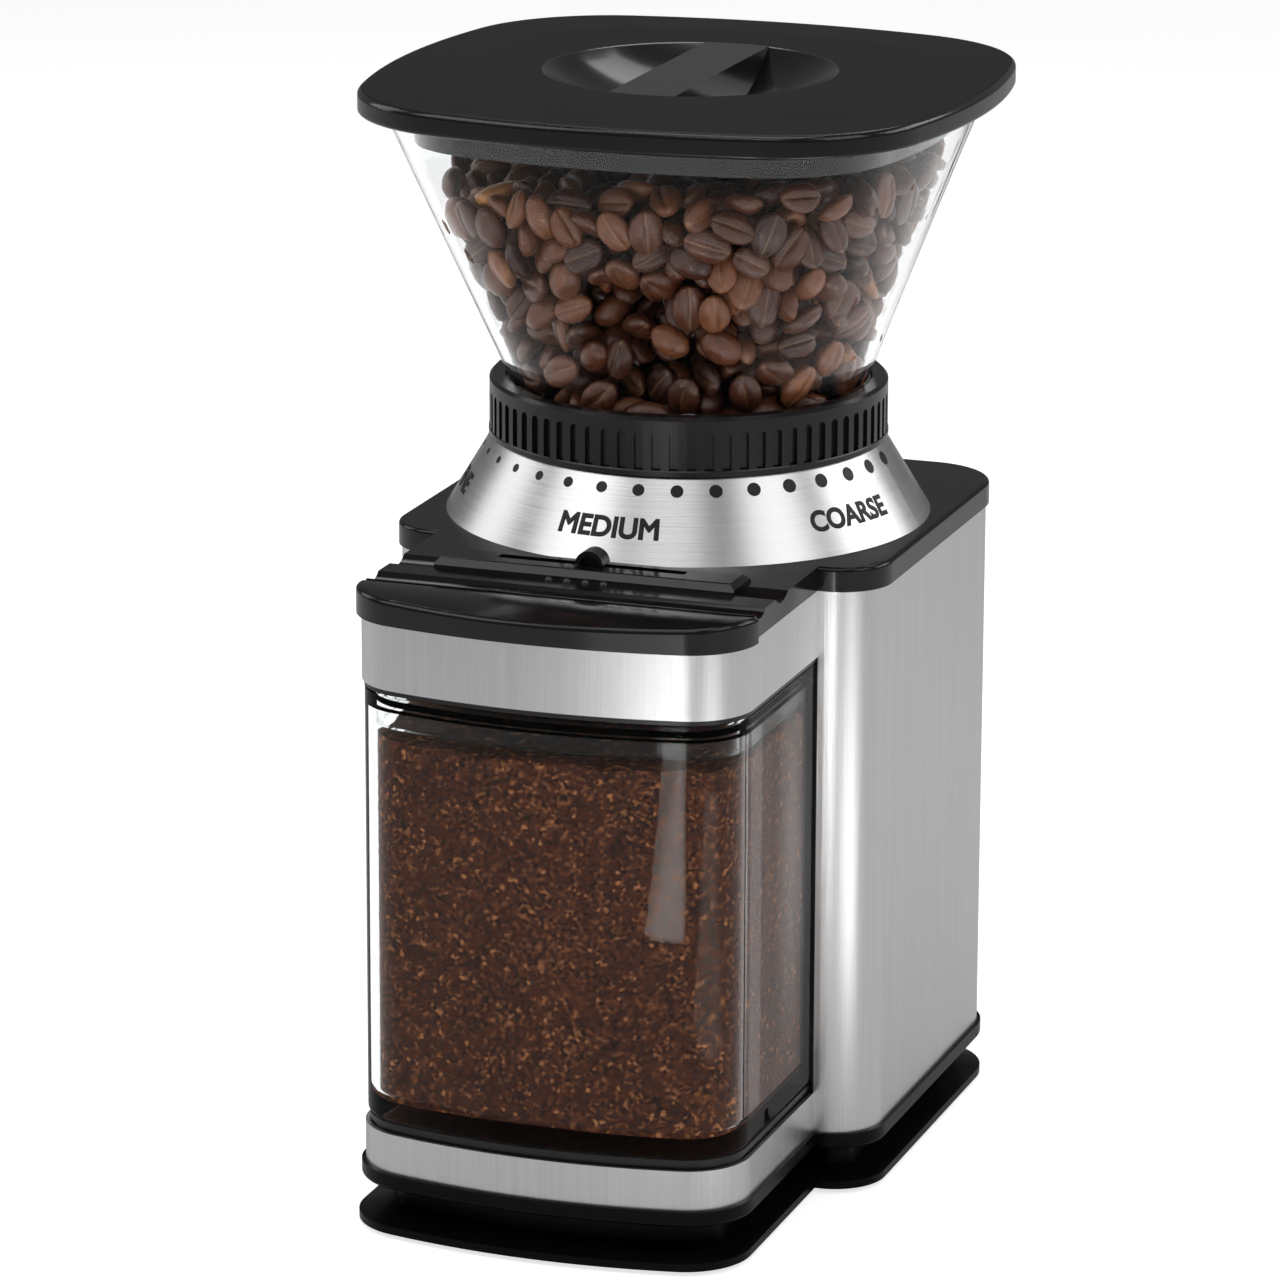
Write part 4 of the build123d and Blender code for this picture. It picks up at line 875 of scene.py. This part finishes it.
ground = Finish("coffee_ground", Specular_IOR_Level=0.12)
flake = ground.node("TexVoronoi", {}, {"Vector": ground.place, "Scale": 1250.0}, "Color")
flake_tone = ground.node("SeparateColor", {}, {"Color": flake}, "Red")
speck = ground.node("TexVoronoi", {}, {"Vector": ground.place, "Scale": 900.0}, "Color")
speck_tone = ground.node("SeparateColor", {}, {"Color": speck}, "Green")
drift = ground.noise(60.0, detail=3.0)
fine = ground.noise(2600.0, detail=2.0)
mixture = flake_tone * 0.62 + fine * 0.26 + drift * 0.16
chaff = ground.node("Math", {"operation": "GREATER_THAN"}, {0: speck_tone, 1: CHAFF_ABOVE})
ground.set(
    Base_Color=ground.ramp(
        mixture + chaff * 0.33,
        (0.22, (0.008, 0.0022, 0.0010)),
        (0.46, (0.030, 0.0074, 0.0028)),
        (0.70, (0.062, 0.0165, 0.0056)),
        (0.98, (0.260, 0.1050, 0.0350)),
    ),
    Roughness=fine * 0.2 + 0.65,
)
ground.bump(flake_tone * 0.6 + fine * 0.4, GRAIN_DEPTH)
settle_in(grounds, "jar_grounds", "jar", ground.material)

# %% [markdown]
# ## Printing on the dial
# Eighteen dots round the cone grow from fine to coarse, and three words name the settings.
# On the real cone they are pad printed, so they are ink a few hundredths of a millimetre
# thick. Each dot is a disc stood on the cone's slope. The words are text made into a mesh,
# cut into short steps, and wrapped round the cone.

# %% Cone geometry and ink
CONE_LOW, CONE_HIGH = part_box("dial_cone")
CONE_HEAD_R = 49.3 * MM
CONE_FOOT_R = CONE_HIGH.x
INK = 0.05 * MM
SETTINGS = 18
SETTING_STEP = 10.7
slope = (CONE_FOOT_R - CONE_HEAD_R) / (CONE_HIGH.z - CONE_LOW.z)
lean = atan2(slope, 1.0)

ink = moulded("dial_ink", (0.006, 0.006, 0.006), 0.45, 0.08, 3000.0, 0.00001)


def cone_radius(z):
    return CONE_FOOT_R - slope * (z - CONE_LOW.z)


def on_cone(turn, z, lift):
    """Point on the cone, turned from the front towards the right, lifted off the steel."""
    radius = cone_radius(z) + lift * cos(lean)
    return Vector((radius * sin(turn), AXIS_Y - radius * cos(turn), z + lift * sin(lean)))


# %% Dots
DOT_Z = 0.1780
DOT_SMALL = 0.35 * MM
DOT_GROWTH = 1.5 * MM
DOT_EDGE = 0.12

dots = []
for number in range(SETTINGS):
    turn = radians((number - (SETTINGS - 1) / 2) * SETTING_STEP)
    left = 1 - number / (SETTINGS - 1)
    size = DOT_SMALL + DOT_GROWTH * (1 - left**2)
    begin()
    bpy.ops.mesh.primitive_circle_add(
        vertices=24,
        radius=size,
        fill_type="NGON",
        location=on_cone(turn, DOT_Z, INK),
        rotation=(pi / 2 - lean, 0, turn),
    )
    dot = bpy.context.object
    pick(dot, "FACE", lambda face: True)
    bpy.ops.mesh.inset(thickness=size * DOT_EDGE, depth=INK / 2)
    bpy.ops.object.mode_set(mode="OBJECT")
    bpy.ops.object.transform_apply(location=True, rotation=True, scale=True)
    dots.append(dot)
begin()
for dot in dots:
    dot.select_set(True)
bpy.context.view_layer.objects.active = dots[0]
bpy.ops.object.join()
settle_in(dots[0], "dial_dots", "housing", ink)

# %% Words
LETTER_HIGH = 5.6 * MM
WORD_Z = 0.1667
WORD_TURN = 65.6
STROKE_SPREAD = 0.038
LETTER_DEPTH = 0.05


def print_word(word, width, degrees_right):
    """A word in raised ink, wrapped round the cone with its middle at a bearing."""
    begin()
    bpy.ops.object.text_add()
    text = bpy.context.object
    text.data.body = word
    text.data.align_x = "CENTER"
    text.data.bevel_depth = STROKE_SPREAD
    text.data.bevel_resolution = 0
    text.data.extrude = LETTER_DEPTH
    text.data.resolution_u = 6
    bpy.ops.object.convert(target="MESH")
    co = np.array([v.co for v in text.data.vertices])
    low, high = co.min(0), co.max(0)
    flat = (co - (low + high) / 2) / (high - low)
    for vertex, (along, up, out) in zip(text.data.vertices, flat):
        z = WORD_Z + up * LETTER_HIGH * cos(lean) + LETTER_HIGH / 2
        turn = radians(degrees_right) + along * width / cone_radius(WORD_Z + LETTER_HIGH / 2)
        vertex.co = on_cone(turn, z, out * INK + INK / 2)
    settle_in(text, "dial_" + word.lower(), "housing", ink)


print_word("MEDIUM", 26.0 * MM, -1.3)
print_word("COARSE", 26.5 * MM, WORD_TURN - 0.7)
print_word("FINE", 14.5 * MM, -WORD_TURN)

# %% [markdown]
# ## Cup marks
# In front of the slider four moulded pips mark the amounts it can be set to. Each is the top
# of a small sphere: the part of the ball that would be inside the cover is cut away.

# %% Pips in front of the slider
PIPS = 4
PIP = 0.9 * MM
PIP_SPACING = 4.7 * MM
PIP_FIRST_X = -7.7 * MM
COVER_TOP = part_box("top_cover")[1].z
PIP_AHEAD = 2.6 * MM
PIP_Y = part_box("slider_bezel")[0].y - PIP_AHEAD

pips = []
for number in range(PIPS):
    begin()
    spot = (PIP_FIRST_X + number * PIP_SPACING, PIP_Y, COVER_TOP)
    bpy.ops.mesh.primitive_uv_sphere_add(segments=20, ring_count=12, radius=PIP, location=spot)
    pip = bpy.context.object
    bpy.ops.object.mode_set(mode="EDIT")
    bpy.ops.mesh.bisect(plane_co=spot, plane_no=(0, 0, 1), clear_inner=True, use_fill=True)
    bpy.ops.object.mode_set(mode="OBJECT")
    bpy.ops.object.shade_smooth_by_angle(angle=radians(50))
    pips.append(pip)
begin()
for pip in pips:
    pip.select_set(True)
bpy.context.view_layer.objects.active = pips[0]
bpy.ops.object.join()
# The pips are moulded black bumps, but here their colour is a grey much lighter than the cover: a
# painted highlight that stands in for the light catching their tops.
pips_painted_highlight = moulded("black_pips", (0.05, 0.05, 0.054), 0.22, 0.06, 900.0, 0.00001)
settle_in(pips[0], "cup_marks", "housing", pips_painted_highlight)

# %% [markdown]
# ## Start bar spring
# Under the start bar a coil spring pushes it back up. The CAD spring is one rigid shape, and
# a real one shortens under the bar; a new coil takes its place. One circle of wire is
# swept up round the spring's axis by a Screw modifier, and its two ends are closed.

# %% Coil spring
WIRE_R = 0.35 * MM
TURNS = 5
COIL_STEPS = 24
SPRING_LOW, SPRING_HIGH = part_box("start_spring")
spring_x = (SPRING_LOW.x + SPRING_HIGH.x) / 2
spring_y = (SPRING_LOW.y + SPRING_HIGH.y) / 2
coil_radius = (SPRING_HIGH.x - SPRING_LOW.x) / 2 - WIRE_R
coil_height = SPRING_HIGH.z - SPRING_LOW.z - 2 * WIRE_R

begin()
bpy.ops.mesh.primitive_circle_add(
    vertices=10, radius=WIRE_R, location=(coil_radius, 0, 0), rotation=(pi / 2, 0, 0)
)
spring = bpy.context.object
bpy.ops.object.transform_apply(location=True, rotation=True, scale=True)
coil = spring.modifiers.new("coil", "SCREW")
coil.screw_offset = coil_height / TURNS
coil.iterations = TURNS
coil.steps = coil.render_steps = COIL_STEPS
apply_modifiers(spring)
bpy.ops.object.mode_set(mode="EDIT")
bpy.ops.mesh.select_all(action="SELECT")
bpy.ops.mesh.fill_holes(sides=0)
bpy.ops.mesh.normals_make_consistent(inside=False)
bpy.ops.object.mode_set(mode="OBJECT")
bpy.ops.object.shade_smooth()
spring.location = (spring_x, spring_y, SPRING_LOW.z + WIRE_R)
settle_in(spring, "start_bar_spring", "housing", shaft_steel)
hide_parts("start_spring")
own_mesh(spring)

# %% [markdown]
# ## Floor
# The grinder stands on a pale floor. To the camera it glows, also through the clear walls,
# which keeps it white behind the object. Black and steel parts mirror it without the glow.

# %% Pale floor
FLOOR_SIZE = 14.0
GLOW = 0.75

begin()
bpy.ops.mesh.primitive_plane_add(size=FLOOR_SIZE, location=(0, 0, 0))
floor = bpy.context.object
floor.name = "floor"
pale = Finish("floor_pale", Emission_Strength=1.0)
mottle = pale.noise(3.0)
by_camera = pale.node("LightPath", {}, {}, "Is Camera Ray")
through_clear = pale.node("LightPath", {}, {}, "Is Transmission Ray")
seen = pale.node("Math", {"operation": "MAXIMUM"}, {0: by_camera, 1: through_clear})
pale.set(
    Base_Color=pale.ramp(mottle, (0.3, (0.82, 0.82, 0.82)), (0.7, (0.86, 0.86, 0.86))),
    Roughness=mottle * 0.1 + 0.55,
    Emission_Color=seen * GLOW,
)
paint(floor, pale.material)
print("floor", FLOOR_SIZE, "m wide")
